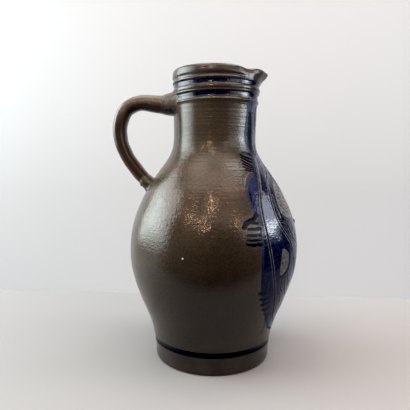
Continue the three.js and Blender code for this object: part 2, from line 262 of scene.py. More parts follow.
# Lighter slips left between the strokes: points and half widths.
LIGHT = [
    ([(68.6, 145.0), (65.5, 144.8), (62.8, 144.7)], [1.0, 1.2, 1.0]),
    ([(69.4, 139.5), (66.1, 139.3), (62.6, 139.4)], [1.1, 1.35, 1.2]),
    ([(69.8, 134.8), (66.5, 134.7), (63.4, 134.7)], [0.7, 0.85, 0.7]),
    ([(70.0, 131.0), (66.7, 130.7), (63.0, 130.7)], [0.5, 0.7, 0.5]),
    ([(55.8, 208.7), (50.0, 206.8), (43.4, 205.2)], [0.45, 0.6, 0.4]),
    ([(58.8, 206.2), (53.6, 204.2), (46.0, 201.6)], [0.40, 0.45, 0.3]),
    ([(59.2, 203.4), (54.6, 201.3), (47.4, 198.7)], [0.40, 0.45, 0.3]),
    ([(59.9, 200.5), (55.4, 198.4), (48.8, 196.1)], [0.40, 0.45, 0.3]),
    ([(60.5, 197.6), (56.2, 195.8), (50.2, 194.0)], [0.45, 0.5, 0.4]),
    ([(60.4, 194.8), (56.6, 193.6), (51.6, 192.4)], [0.4, 0.45, 0.35]),
    ([(66.9, 176.0), (65.2, 181.4), (61.8, 186.6), (56.8, 190.3), (51.6, 191.0)], [0.3, 0.5, 0.6, 0.6, 0.4]),
    ([(58.9, 80.3), (55.6, 78.9), (52.6, 79.3)], [0.3, 0.55, 0.3]),
    ([(57.2, 74.4), (53.9, 73.8), (50.4, 75.5)], [0.3, 0.55, 0.3]),
    ([(54.9, 68.4), (51.6, 67.7), (48.3, 70.2)], [0.3, 0.55, 0.3]),
    ([(51.4, 62.0), (48.6, 61.2), (45.7, 63.9)], [0.3, 0.5, 0.3]),
    ([(49.4, 138.4), (45.4, 135.9)], [0.7, 0.6]),
    ([(49.4, 135.8), (44.2, 133.2)], [0.75, 0.7]),
    ([(48.8, 133.3), (43.9, 130.8)], [0.75, 0.7]),
    ([(47.2, 130.6), (45.2, 129.4)], [0.5, 0.4]),
]
# Short dark strokes laid over the lighter parts.
DARK_TICKS = [
    ([(49.6, 139.7), (45.6, 137.1)], [0.45, 0.6]), ([(49.9, 137.1), (44.4, 134.5)], [0.4, 0.6]),
    ([(49.5, 134.6), (43.7, 131.9)], [0.4, 0.6]), ([(48.4, 132.0), (44.2, 129.8)], [0.4, 0.5]),
]
# Parts of the ground left in the bare grey glaze, each with a cut outline.
WING = [
    (24.5, 184.5), (29.5, 181.2), (32.8, 177.8), (35.6, 172.6), (36.9, 167.1), (37.8, 161.7),
    (37.6, 156.2), (35.7, 151.3), (31.1, 147.8), (21.0, 146.6), (12.5, 149.5), (8.0, 155.0),
    (7.0, 162.0), (9.5, 168.5), (15.0, 173.0), (19.5, 178.5),
]
LOW_LEAF = [
    (43.1, 122.2), (44.7, 116.6), (45.5, 110.3), (45.7, 102.9), (44.3, 96.4), (40.6, 97.7),
    (37.0, 102.4), (34.8, 108.5), (35.6, 115.4), (38.9, 120.3),
]
NECK_LEAF = [(0.0, 257.0), (6.5, 251.5), (12.5, 243.5), (15.0, 234.5), (12.5, 225.5), (6.5, 218.5), (0.0, 213.5)]
NECK_SIDE = [(20.0, 254.0), (23.6, 247.0), (24.2, 239.0), (21.6, 232.0), (19.2, 238.0), (18.4, 246.0)]
TULIP_MID = [(0.0, 202.5), (4.2, 197.5), (7.0, 190.5), (6.6, 183.0), (3.6, 177.6), (0.0, 175.4)]
TULIP_SIDE = [
    (11.8, 198.2), (15.8, 193.8), (17.6, 188.4), (16.4, 182.6), (12.2, 178.0), (6.6, 175.4),
    (9.4, 180.2), (10.6, 186.0), (10.0, 192.0),
]
DROP = [(0.0, 120.0), (5.0, 115.5), (9.2, 108.5), (10.6, 100.5), (8.4, 92.5), (4.0, 86.0), (0.0, 82.5)]
DROP_SIDE = [
    (14.0, 121.0), (20.0, 119.0), (24.6, 113.5), (24.4, 106.0), (20.6, 99.0), (15.4, 93.4),
    (15.8, 101.0), (14.0, 108.0), (12.0, 115.0),
]
FOOT_LEAF = [(7.0, 66.5), (14.0, 67.5), (22.5, 64.5), (30.0, 58.0), (24.0, 51.5), (15.0, 49.5), (7.5, 54.0), (5.0, 60.5)]
BEAD = (0.0, 140.0)


def petals():
    """The rosette round the bead: eight reserved petals."""
    made = []
    mm = 83.0 * math.pi / 180
    for k in range(8):
        a = math.radians(22.5 + 45 * k)
        shape = []
        for u, v in ((5.0, 0.0), (7.2, 1.9), (10.2, 2.9), (12.6, 2.2), (13.6, 0.0), (12.6, -2.2), (10.2, -2.9), (7.2, -1.9)):
            shape.append(((u * math.cos(a) - v * math.sin(a)) / mm, BEAD[1] + u * math.sin(a) + v * math.cos(a)))
        made.append(shape)
    return made


def other_side(points):
    """The mirror half, with the small misses of a freehand repeat."""
    out = []
    for p, z in points:
        k = float(smooth(abs(p), 6, 30))
        out.append((
            -p + k * (0.9 * math.sin(0.061 * z + 1.3) - 0.35 * math.sin(0.17 * z)),
            z + k * (1.3 * math.sin(0.085 * p + 0.6) + 0.7 * math.sin(0.09 * z + 2.0)),
        ))
    return out


def crescents(left, right, low_z, high_z, step_p, step_z, tilt, length, bend, keep_in):
    """Rows of short curved cuts, as a rocked tool leaves, kept inside a leaf."""
    made, row = [], 0
    z = low_z
    while z <= high_z:
        p = left + (step_p / 2 if row % 2 else 0)
        while p <= right:
            wob = math.sin(12.9 * p + 7.3 * z)
            mm = float(np.interp(z, OUTER_Z, OUTER_R)) * math.pi / 180
            a = math.radians(tilt + 9 * wob)
            pts = []
            for t in (-1, -0.5, 0, 0.5, 1):
                u, v = t * length / 2, bend * (1 - t * t)
                pts.append((
                    p + 0.4 * wob + (u * math.cos(a) - v * math.sin(a)) / mm,
                    z + 0.35 * math.sin(5.1 * p) + u * math.sin(a) + v * math.cos(a),
                ))
            ends = [pts[0], pts[2], pts[-1]]
            if all(in_ring(q, keep_in) for q in ends):
                made.append(pts)
            p += step_p
        z += step_z
        row += 1
    return made


def in_ring(q, ring):
    x, y = q
    inside = False
    for (x1, y1), (x2, y2) in zip(ring, ring[1:] + ring[:1]):
        if (y1 > y) != (y2 > y) and x < (x2 - x1) * (y - y1) / (y2 - y1) + x1:
            inside = not inside
    return inside


def shrink(ring, by):
    cx = sum(p for p, _ in ring) / len(ring)
    cz = sum(z for _, z in ring) / len(ring)
    return [(cx + (p - cx) * by, cz + (z - cz) * by) for p, z in ring]


OUTER_Z = np.array([p[1] for p in OUTER_WALL])
OUTER_R = np.array([p[0] for p in OUTER_WALL])

whole_leaf = [(p, z) for p, z in NECK_LEAF] + [(-p, z) for p, z in reversed(NECK_LEAF[1:-1])]
whole_tulip = [(p, z) for p, z in TULIP_MID] + [(-p, z) for p, z in reversed(TULIP_MID[1:-1])]
whole_drop = [(p, z) for p, z in DROP] + [(-p, z) for p, z in reversed(DROP[1:-1])]
half_rings = [WING, LOW_LEAF, NECK_SIDE, TULIP_SIDE, DROP_SIDE, FOOT_LEAF]
RESERVED = half_rings + [other_side(r) for r in half_rings] + [whole_leaf, whole_tulip, whole_drop] + petals()

half_cuts = []
half_cuts += [
    [(42.0, 146.4), (38.6, 145.6), (34.6, 143.2), (31.6, 139.0), (30.4, 134.4)],
    [(38.8, 141.6), (35.2, 138.2), (32.8, 133.4)],
    [(40.6, 169.6), (41.4, 162.0), (41.4, 156.0), (40.4, 150.0)],
    [(13.0, 197.0), (15.2, 192.0), (15.6, 186.0), (13.4, 181.0)],
    [(11.8, 194.0), (13.2, 189.4), (13.0, 184.6)],
    [(21.0, 250.5), (21.8, 243.0), (21.0, 236.0)],
    [(16.2, 117.8), (21.6, 112.6), (21.6, 106.6), (18.2, 100.0)],
    [(15.0, 113.0), (18.4, 109.6), (18.0, 104.4)],
    [(8.5, 63.5), (16.0, 64.0), (24.5, 60.0)], [(8.0, 59.5), (16.0, 60.0), (25.0, 57.0)],
    [(9.5, 55.5), (16.0, 56.2), (22.0, 54.2)],
    # light curls between the stems
    [(33.0, 206.4), (27.0, 207.8), (22.6, 212.6), (23.6, 218.6)],
    [(28.0, 86.0), (34.0, 91.0), (36.2, 97.0), (34.4, 102.6)],
    [(36.4, 78.0), (40.0, 84.0), (41.6, 91.0)],
    [(24.6, 139.0), (27.8, 134.6), (27.6, 129.0), (24.0, 125.6)],
    [(20.0, 131.6), (22.0, 127.6), (20.6, 123.4)],
    [(29.8, 181.6), (24.6, 182.8), (21.4, 187.0), (22.8, 190.6)],
    [(27.4, 203.6), (31.6, 197.0), (35.0, 190.6)],
    [(36.8, 186.2), (34.6, 190.4), (30.8, 195.4)],
    [(38.0, 96.0), (36.6, 88.0), (33.4, 80.6), (28.6, 73.6)],
    [(34.6, 97.0), (33.0, 89.6), (29.6, 82.6)],
    [(42.4, 92.6), (41.0, 84.6), (38.0, 76.0), (33.0, 66.6)],
]
hatch = crescents(8, 38, 149.0, 182.5, 4.6, 3.3, 24, 5.6, 1.0, shrink(WING, 0.93))
hatch += crescents(35, 46, 99.5, 119.0, 4.2, 4.2, 30, 3.0, 0.5, shrink(LOW_LEAF, 0.86))
half_ticks = DARK_TICKS + [(h, [0.30, 0.62, 0.70, 0.62, 0.30]) for h in hatch]
middle_cuts = [
    [(0.0, 254.0), (0.2, 236.0), (0.0, 217.0)],
    [(0.0, 199.0), (0.1, 188.0), (0.0, 178.5)],
    [(0.0, 116.0), (0.1, 100.0), (0.0, 86.5)],
    [(0.0, 175.0), (0.4, 166.0), (0.0, 157.5)],
    [(0.0, 124.4), (0.0, 120.6)],
    [(0.0, 82.0), (0.0, 76.0)],
]
for k in range(6):  # the neck leaf's ribs
    z = 222.0 + 5.6 * k
    wide = 0.72 * float(np.interp(z + 2.5, [213.5, 218.5, 225.5, 234.5, 243.5, 251.5, 257], [0, 6.5, 12.5, 15, 12.5, 6.5, 0]))
    half_cuts.append([(1.2, z), (wide * 0.55, z + 2.0), (wide, z + 4.6)])
for k in range(5):
    z = 90.5 + 5.2 * k
    wide = 0.68 * float(np.interp(z + 2, [82.5, 86, 92.5, 100.5, 108.5, 115.5, 120], [0, 4, 8.4, 10.6, 9.2, 5, 0]))
    half_cuts.append([(1.0, z), (wide * 0.55, z + 1.4), (wide, z + 3.4)])
for k in range(4):
    z = 180.0 + 5.0 * k
    wide = 0.66 * float(np.interp(z + 2, [175.4, 177.6, 183, 190.5, 197.5, 202.5], [0, 3.6, 6.6, 7, 4.2, 0]))
    half_cuts.append([(0.9, z), (wide * 0.6, z + 1.6), (wide, z + 3.6)])
CUTS = half_cuts + [other_side(c) for c in half_cuts] + middle_cuts
ring = [(5.0 / (83 * math.pi / 180) * math.cos(t), BEAD[1] + 4.0 * math.sin(t)) for t in np.linspace(0, 2 * math.pi, 15)]
CUTS.append(ring)
STEMS = [STEM_1, STEM_2, other_side(STEM_1), other_side(STEM_2)]
BRUSH = [(p, [k * 1.02 for k in w]) if p[0][1] > 190 else (p, w) for p, w in BRUSH]
STROKES = BRUSH + [(other_side(p), w) for p, w in BRUSH]
LIGHTS = LIGHT + [(other_side(p), w) for p, w in LIGHT]
TICKS = half_ticks + [(other_side(p), w) for p, w in half_ticks]
GROUND = PAINTED[:-1] + [PAINTED[-1]] + list(reversed(other_side(PAINTED)[1:-1]))


def path(points, closed=False, widths=None, step=1.8):
    """(degrees, z) points to a smooth line in (degrees, arc mm), with the widths carried along."""
    rows = []
    for i, (p, z) in enumerate(points):
        r = float(np.interp(z, OUTER_Z, OUTER_R))
        rows.append([p, float(s_at(z)), r, widths[i] if widths else 0.0])
    if closed:
        rows = rows[-2:] + rows + rows[:2]
    rows = np.array(rows)
    scaled = rows.copy()
    scaled[:, 0] *= rows[:, 2].mean() * math.pi / 180
    fine = spline(scaled, step)
    fine[:, 0] /= rows[:, 2].mean() * math.pi / 180
    if closed:
        # the repeated ends only steer the curve
        a = np.argmin(np.hypot(fine[:, 0] - rows[2, 0], fine[:, 1] - rows[2, 1])[: len(fine) // 2])
        tail = np.hypot(fine[:, 0] - rows[2, 0], fine[:, 1] - rows[2, 1])
        b = len(fine) // 2 + np.argmin(tail[len(fine) // 2 :])
        fine = fine[a : b + 1]
    return fine[:, [0, 1, 3]]


def to_line(deg, s, r, line, reach):
    """Distance in mm from points on the wall to a line, and the line's width there. Far points get reach."""
    mm = r * math.pi / 180
    pad = reach / np.maximum(mm, 0.2)
    near = np.nonzero(
        (s > line[:, 1].min() - reach) & (s < line[:, 1].max() + reach)
        & (deg > line[:, 0].min() - pad) & (deg < line[:, 0].max() + pad)
    )[0]
    dist = np.full(len(deg), float(reach))
    wide = np.zeros(len(deg))
    if len(near) == 0:
        return dist, wide, near
    d, q, m = deg[near], s[near], mm[near]
    best, w = np.full(len(near), 1e9), np.zeros(len(near))
    for a, b in zip(line[:-1], line[1:]):
        ax, ay = (a[0] - d) * m, a[1] - q
        vx, vy = (b[0] - a[0]) * m, b[1] - a[1]
        t = np.clip(-(ax * vx + ay * vy) / np.maximum(vx * vx + vy * vy, 1e-12), 0, 1)
        e = np.hypot(ax + t * vx, ay + t * vy)
        hit = e < best
        best[hit] = e[hit]
        w[hit] = (a[2] + (b[2] - a[2]) * t)[hit]
    dist[near] = np.minimum(best, reach)
    wide[near] = w
    return dist, wide, near


def inside_of(deg, s, line):
    """Even-odd test against a closed line."""
    odd = np.zeros(len(deg), bool)
    box = np.nonzero(
        (s > line[:, 1].min()) & (s < line[:, 1].max()) & (deg > line[:, 0].min()) & (deg < line[:, 0].max())
    )[0]
    d, q = deg[box], s[box]
    c = np.zeros(len(box), bool)
    pts = np.vstack([line, line[:1]])
    for a, b in zip(pts[:-1], pts[1:]):
        if a[1] == b[1]:
            continue
        c ^= ((a[1] > q) != (b[1] > q)) & (d < (b[0] - a[0]) * (q - a[1]) / (b[1] - a[1]) + a[0])
    odd[box] = c
    return odd


REACH = 9.0
ground_path = path(GROUND, closed=True, step=2.5)
stem_paths = [path(x) for x in STEMS]
cut_paths = [path(x, step=1.3) for x in CUTS]
ring_paths = [path(x, closed=True) for x in RESERVED]
stroke_paths = [path(p, widths=w, step=1.2) for p, w in STROKES]
light_paths = [path(p, widths=w, step=1.2) for p, w in LIGHTS]
tick_paths = [path(p, widths=w, step=1.2) for p, w in TICKS]


def signed(deg, s, r, line, reach):
    closed = np.vstack([line, line[:1]])
    d, _, _ = to_line(deg, s, r, closed, reach)
    return np.where(inside_of(deg, s, line), d, -d)


def fields(deg, s, r):
    """The ornament's fields at points of the outer wall, all in mm:
    ground: + inside the blue, stem: to a double line's middle, cut: to a cut line, leaf: + inside a reserved leaf."""
    ground = signed(deg, s, r, ground_path, REACH)
    laid = []
    for lines in (stroke_paths, light_paths, tick_paths):
        most = np.full(len(deg), -REACH)
        for line in lines:
            d, w, near = to_line(deg, s, r, line, 4.0)
            most[near] = np.maximum(most[near], (w - d)[near])
        laid.append(most)
    brush, light, tick = laid
    stem = np.full(len(deg), 6.0)
    for line in stem_paths:
        stem = np.minimum(stem, to_line(deg, s, r, line, 6.0)[0])
    leaf = np.full(len(deg), -REACH)
    for line in ring_paths:
        box = (
            (s > line[:, 1].min() - 5) & (s < line[:, 1].max() + 5)
            & (deg > line[:, 0].min() - 7) & (deg < line[:, 0].max() + 7)
        )
        i = np.nonzero(box)[0]
        if len(i):
            leaf[i] = np.maximum(leaf[i], signed(deg[i], s[i], r[i], line, 5.0))
    cut = np.full(len(deg), 5.0)
    for line in cut_paths:
        cut = np.minimum(cut, to_line(deg, s, r, line, 5.0)[0])
    return ground, brush, stem, leaf, cut, light, tick


# ---------------------------------------------------------------------------------------------
# The wall's mesh: a quad tree over (round, along the profile), finest where lines are cut
# ---------------------------------------------------------------------------------------------
TURNS, DEEP = 64, 4
FINE = 2**DEEP


def rows_between(a, b, step):
    n = max(1, int(round((b - a) / step)))
    return list(np.linspace(a, b, n, endpoint=False))


s24, s256, s274 = float(s_at(24.5)), float(s_at(255.6)), float(s_at(274.5))
s_in = CREST + 9.5
rows = (
    rows_between(0, EDGE - 3, 7.5)
    + rows_between(EDGE - 3, s24, 2.9)
    + rows_between(s24, s256, 8.2)
    + rows_between(s256, s274, 0.75)
    + rows_between(s274, CREST + 0.6, 1.8)
    + rows_between(CREST + 0.6, s_in, 3.0)
    + rows_between(s_in, TOTAL - 6, 11.0)
    + [TOTAL - 6, TOTAL]
)
rows = np.array(rows)
NV = len(rows) - 1
fine_s = np.interp(np.arange(NV * FINE + 1) / FINE, np.arange(NV + 1), rows)

mid_s = (fine_s[:-1] + fine_s[1:]) / 2
mid_a = (np.arange(TURNS * FINE) + 0.5) / (TURNS * FINE) * 360
mid_a = np.where(mid_a > 180, mid_a - 360, mid_a)
mid_z = z_of(mid_s)
outside = (mid_s > EDGE - 3) & (mid_s < CREST)
level = np.ones((NV * FINE, TURNS * FINE), np.int8)
level[(mid_s < 40) | (mid_s > TOTAL - 55)] = 1
level[(mid_s > s274) & (mid_s < CREST + 6.5)] = 2
level[outside & (mid_z > 15.5) & (mid_z < 23.5)] = 2
level[outside & (mid_z > 160) & (mid_z < 186)] = 2

zone = np.nonzero(outside & (mid_z > 27) & (mid_z < 264))[0][::2]
cols = np.nonzero(np.abs(mid_a) < 84)[0][::2]
gs, ga = np.meshgrid(mid_s[zone], mid_a[cols], indexing="ij")
g = fields(-ga.ravel(), gs.ravel(), r_of(gs.ravel()))
g = [x.reshape(gs.shape) for x in g]
want = np.ones(gs.shape, np.int8)
fine_line = np.minimum(g[2] - 0.45, g[4])
fine_line = np.minimum(fine_line, np.minimum(np.abs(g[3]), np.abs(g[6]) + 0.45))
edge = np.minimum(np.minimum(np.abs(g[0]), np.abs(g[1])), np.abs(g[5]))
want[np.minimum(fine_line, edge) < 4.5] = 2
want[edge < 1.4] = 3
want[fine_line < 1.5] = 3
want[(fine_line < np.where(ga < 0, 0.42, 0.18)) & (z_of(gs) < 210)] = 4
want = np.where(gs > s256, np.minimum(want, 2), want)
for dz in (0, 1):
    for dc in (0, 1):
        zi = np.clip(zone + dz, 0, NV * FINE - 1)
        ci = np.clip(cols + dc, 0, TURNS * FINE - 1)
        sub = level[np.ix_(zi, ci)]
        level[np.ix_(zi, ci)] = np.maximum(sub, want)


def blocks(a, n):
    return a.reshape(a.shape[0] // n, n, a.shape[1] // n, n)


need = {}
for lv in range(DEEP - 1, -1, -1):
    n = 2 ** (DEEP - lv)
    own = blocks(level, n).max(axis=(1, 3)) >= lv + 1
    if lv + 1 in need:
        finer = need[lv + 1]
        spread = finer.copy()
        spread[1:] |= finer[:-1]
        spread[:-1] |= finer[1:]
        spread |= np.roll(finer, 1, 1) | np.roll(finer, -1, 1)
        own |= blocks(spread, 2).any(axis=(1, 3))
    need[lv] = own

leaves = []
for lv in range(DEEP + 1):
    n = 2 ** (DEEP - lv)
    shape = (NV * FINE // n, TURNS * FINE // n)
    there = np.ones(shape, bool) if lv == 0 else np.repeat(np.repeat(need[lv - 1], 2, 0), 2, 1)
    if lv < DEEP:
        there &= ~need[lv]
    iv, iu = np.nonzero(there)
    leaves.append((iv * n, iu * n, np.full(len(iv), n)))
leaf_v, leaf_u, leaf_n = (np.concatenate(x) for x in zip(*leaves))

WIDE = TURNS * FINE
used = np.zeros((NV * FINE + 1, WIDE), bool)
for dv, du in ((0, 0), (0, 1), (1, 1), (1, 0)):
    used[leaf_v + dv * leaf_n, (leaf_u + du * leaf_n) % WIDE] = True
half = leaf_n // 2
mids = []
for dv, du in ((0, 1), (1, 2), (2, 1), (1, 0)):
    mv, mu = leaf_v + dv * half, (leaf_u + du * half) % WIDE
    mids.append((mv, mu, used[mv, mu] & (leaf_n > 1)))
hanging = mids[0][2] | mids[1][2] | mids[2][2] | mids[3][2]
centre_v, centre_u = leaf_v + half, (leaf_u + half) % WIDE
used[centre_v[hanging], centre_u[hanging]] = True
used[0, 1:] = used[-1, 1:] = False  # the poles are one point each
used[0, 0] = used[-1, 0] = True
number = np.full(used.shape, -1, np.int64)
number[used] = np.arange(used.sum())
number[0, :] = number[0, 0]
number[-1, :] = number[-1, 0]
vv, vu = np.nonzero(used)

corner = [
    number[leaf_v + dv * leaf_n, (leaf_u + du * leaf_n) % WIDE] for dv, du in ((0, 0), (0, 1), (1, 1), (1, 0))
]
plain = ~hanging
quads = np.stack([c[plain] for c in corner], 1)
mid_no = [number[mv, mu] for mv, mu, _ in mids]
hub = number[centre_v, centre_u]
tris = []
for e in range(4):
    a, b = corner[e], corner[(e + 1) % 4]
    with_mid = hanging & mids[e][2]
    without = hanging & ~mids[e][2]
    tris.append(np.stack([hub[with_mid], a[with_mid], mid_no[e][with_mid]], 1))
    tris.append(np.stack([hub[with_mid], mid_no[e][with_mid], b[with_mid]], 1))
    tris.append(np.stack([hub[without], a[without], b[without]], 1))
tris = np.concatenate(tris)
flat = (quads[:, 0] == quads[:, 1]) | (quads[:, 2] == quads[:, 3])
poles = quads[flat]
pole_tris = []
for q in poles:
    u = list(dict.fromkeys(q.tolist()))
    if len(u) == 3:
        pole_tris.append(u)
tris = np.concatenate([tris, np.array(pole_tris).reshape(-1, 3)])
tris = tris[(tris[:, 0] != tris[:, 1]) & (tris[:, 1] != tris[:, 2]) & (tris[:, 0] != tris[:, 2])]
quads = quads[~flat]

vs = fine_s[vv]
va = vu / WIDE * 2 * math.pi
vr, vz = r_of(vs), z_of(vs)
vdeg = np.degrees((va + math.pi) % (2 * math.pi) - math.pi)
vinside = smooth(vs, CREST - 2.0, CREST + 3.5)
nr = np.interp(vs, ARC, TANGENT[:, 1])
nz = -np.interp(vs, ARC, TANGENT[:, 0])

v_out = (vs > EDGE) & (vs < CREST)
front = np.nonzero(v_out & (vz > 27) & (vz < 264) & (np.abs(vdeg) < 84))[0]
f = fields(-vdeg[front], vs[front], vr[front])
ground = np.full(len(vs), -REACH)
brush = np.full(len(vs), -REACH)
stem = np.full(len(vs), 6.0)
leaf = np.full(len(vs), -REACH)
cut = np.full(len(vs), 5.0)
slip = np.full(len(vs), -REACH)
tick = np.full(len(vs), -REACH)
ground[front], brush[front], stem[front], leaf[front], cut[front], slip[front], tick[front] = f

# Cobalt bands: + inside, in mm along the profile. The upper one narrows under the lip.
absdeg = np.abs(vdeg)
lip_near = 1 - smooth(absdeg, 34, 60)
band = np.full(len(vs), -20.0)
wob = 0.28 * wavy(3, (vdeg, 60), (vdeg, 33)) + 0.1 * wavy(4, (vdeg, 14))
wob2 = 0.25 * wavy(5, (vdeg, 80), (vdeg, 37)) + 0.1 * wavy(6, (vdeg, 16))
for z0, z1, w in ((273.0, 278.3, wob), (262.3, 266.7, wob2), (17.5, 23.4, 0.9 * wob)):
    top = s_at(z1) + 0.35 * w
    bottom = s_at(z0) + 0.3 * w
    if z0 > 270:
        top = top - 0.5 * lip_near
        bottom = bottom - 0.6 * lip_near
    band = np.maximum(band, np.where(v_out, np.minimum(vs - bottom, top - vs), -20.0))

# How thin the blue wash is: 0 is the dark flooded ground, 1 a thin wash.
wash = 0.36 + 0.0 * vs
wash = wash + 0.50 * smooth(vz, 203, 216) * (1 - smooth(absdeg, 27.5, 30.5))  # the neck, inside the stem
wash = wash - 0.40 * smooth(vz, 206, 214) * (1 - smooth(vz, 246, 250)) * smooth(absdeg, 28.5, 31)
wash = wash + 0.45 * smooth(vz, 247, 251)
wash = wash + 0.42 * smooth(vz, 176, 190) * (1 - smooth(vz, 206, 214)) * (1 - smooth(absdeg, 36, 43)) * smooth(absdeg, 17, 22)
wash = wash - 0.50 * smooth(vz, 170, 174) * (1 - smooth(vz, 187, 192)) * smooth(absdeg, 40, 43) * (1 - smooth(absdeg, 48, 52))
wash = wash - 0.80 * (1 - smooth(vz, 124, 130)) * smooth(absdeg, 28, 46) * smooth(vz, 24, 40)
wash = wash + 0.22 * smooth(vz, 130, 145) * (1 - smooth(vz, 166, 172)) * smooth(absdeg, 46, 48) * (1 - smooth(absdeg, 55, 57))
wash = wash + 0.14 * smooth(vz, 150, 160) * (1 - smooth(vz, 180, 188)) * smooth(absdeg, 57, 60)
wash = wash - 0.34 * smooth(absdeg, 61.5, 64.5) * smooth(vz, 140, 150)
wash = wash - 0.34 * smooth(absdeg, 57.5, 59) * smooth(vz, 122, 128) * (1 - smooth(vz, 146, 152))
wash = wash - 0.36 * smooth(absdeg, 34, 37) * (1 - smooth(absdeg, 43, 45)) * smooth(vz, 146, 152) * (1 - smooth(vz, 174, 180))
wash = wash - 0.30 * smooth(absdeg, 26, 32) * (1 - smooth(absdeg, 40, 43)) * smooth(vz, 124, 130) * (1 - smooth(vz, 144, 150))
wash = wash + 0.16 * (1 - smooth(vz, 40, 56))
wash = wash - 0.25 * (1 - smooth(absdeg, 14, 20)) * smooth(vz, 170, 180) * (1 - smooth(vz, 200, 212))
wash = np.clip(wash, 0, 1)

# Relief, along the normal: throwing rings, cut grooves, the soft edge of the flooded blue
lift = np.zeros(len(vs))
body = smooth(vz, 26, 40) * (1 - smooth(vz, 250, 257)) * v_out
lift += body * 0.045 * wavy(11, (vs, 15.0), (vdeg, 400)) * (0.5 + 0.5 * smooth(vz, 120, 180))
lift += body * 0.022 * wavy(12, (vs, 5.2), (vdeg, 300)) * smooth(vz, 150, 215)
for z0, deep, w in ((178.1, 0.12, 1.7), (184.6, 0.04, 2.2), (171.4, 0.02, 2.4), (166.0, 0.03, 2.4), (151.5, 0.05, 2.6)):
    at = (vz - z0 - 0.5 * wavy(int(z0), (vdeg, 170))) / w
    lift += v_out * -deep * np.exp(-at * at) * (0.6 + 0.4 * np.cos(va - 4.4))
lift += v_out * body * 0.35 * wavy(14, (vdeg, 240), (vs, 190), n=4)  # not quite true
lift += -0.50 * np.exp(-((stem / 0.52) ** 2)) + 0.16 * np.exp(-(((stem - 1.40) / 0.55) ** 2))
lift += -0.42 * np.exp(-((cut / 0.50) ** 2)) + 0.10 * np.exp(-(((cut - 1.05) / 0.40) ** 2))
lift += -0.30 * np.exp(-((leaf / 0.50) ** 2)) * (leaf > -4)
lift += 0.08 * smooth(np.maximum(ground, brush), -0.3, 0.8) * v_out
lift += -0.26 * smooth(tick, -0.30, 0.35)
lift += 0.10 * smooth(slip, -0.5, 0.6)
inner_part = smooth(vs, CREST + 12, CREST + 22) * (1 - smooth(vs, TOTAL - 12, TOTAL - 2))
lift += inner_part * (0.12 * np.sin(2 * math.pi * vs / 7.4 + va + 0.8 * wavy(15, (vs, 60))) + 0.08 * wavy(16, (vs, 14), (vdeg, 300)))
floor_part = smooth(vs, TOTAL - 50, TOTAL - 40) * (1 - smooth(vs, TOTAL - 9, TOTAL - 3))
lift += floor_part * 0.30 * np.sin(2 * math.pi * vs / 6.4 + va)
# the string-cut underside: shallow off-centre arcs
ux, uy = vr * np.cos(va), vr * np.sin(va)
arcs = np.sin(2 * math.pi * np.hypot(ux + 62, uy * 0.9 - 8) / 4.6)
lift -= (vs < EDGE - 3) * (0.10 + 0.09 * arcs) * smooth(vr, 3, 8) * (1 - smooth(vr, 50, 53))
# rim and lip: finger-smoothed, not quite even
lift += 0.10 * wavy(17, (vdeg, 150), (vdeg, 70)) * smooth(vz, 281, 286) * (vs > EDGE)

rr = vr + nr * lift
zz = vz + nz * lift
rr = np.where(v_out & (vz > 60) & (vz < 160), np.minimum(rr, 86.02 - np.maximum(curve(LEAN, vz) * np.cos(va), 0)), rr)
zz = np.where(vs < EDGE + 0.5, np.maximum(zz, 0.0), np.minimum(zz, 290.72))
px, py, pz = thrown(rr, va, zz, vinside)
pole = vr < 1e-6
px[pole], py[pole] = 0.0, 0.0
verts = np.stack([px, py, pz], 1) / 1000


def mesh_object(name, verts, faces, smooth_shade=True):
    mesh = bpy.data.meshes.new(name)
    mesh.from_pydata([tuple(v) for v in verts], [], faces)
    mesh.validate()
    mesh.update()
    if smooth_shade:
        mesh.shade_smooth()
    obj = bpy.data.objects.new(name, mesh)
    bpy.context.scene.collection.objects.link(obj)
    return obj


def field(obj, name, values):
    a = obj.data.attributes.new(name, "FLOAT", "POINT")
    a.data.foreach_set("value", np.asarray(values, np.float32))


wall = mesh_object("thrown_wall", verts, quads.tolist() + tris.tolist())
field(wall, "ground", ground)
field(wall, "brush", brush)
field(wall, "stem", stem)
field(wall, "leaf", leaf)
field(wall, "cut", cut)
field(wall, "slip", slip)
field(wall, "tick", tick)
field(wall, "band", band)
field(wall, "wash", wash)
field(wall, "under", np.where(vs < EDGE, (EDGE - vs), -np.minimum(vs - EDGE, 20)))
field(wall, "inner", np.clip(vs - CREST, -20, 20))

# ---------------------------------------------------------------------------------------------
# The pulled strap and the clay at its two roots
# ---------------------------------------------------------------------------------------------
line = spline(STRAP, 0.5)
run = np.concatenate([[0], np.cumsum(np.hypot(*np.diff(line[:, :2], axis=0).T))])
LONG = run[-1]


def strap_at(t):
    """Centre, outward normal, half thickness and half width at t (0 at the upper root, 1 at the lower)."""
    d = np.asarray(t) * LONG
    c = np.stack([np.interp(d, run, line[:, k]) for k in range(4)], -1)
    e = 0.6
    ahead = np.stack([np.interp(np.clip(d + e, 0, LONG), run, line[:, k]) for k in (0, 1)], -1)
    back = np.stack([np.interp(np.clip(d - e, 0, LONG), run, line[:, k]) for k in (0, 1)], -1)
    tan = ahead - back
    tan /= np.linalg.norm(tan, axis=-1, keepdims=True)
    out = np.stack([tan[..., 1], -tan[..., 0]], -1)  # away from the pot
    return c, tan, out


def section(n, power=2.35):
    a = (np.arange(n) + 0.5) / n * 2 * math.pi
    c, s = np.cos(a), np.sin(a)
    return np.sign(c) * np.abs(c) ** (2 / power), np.sign(s) * np.abs(s) ** (2 / power), a


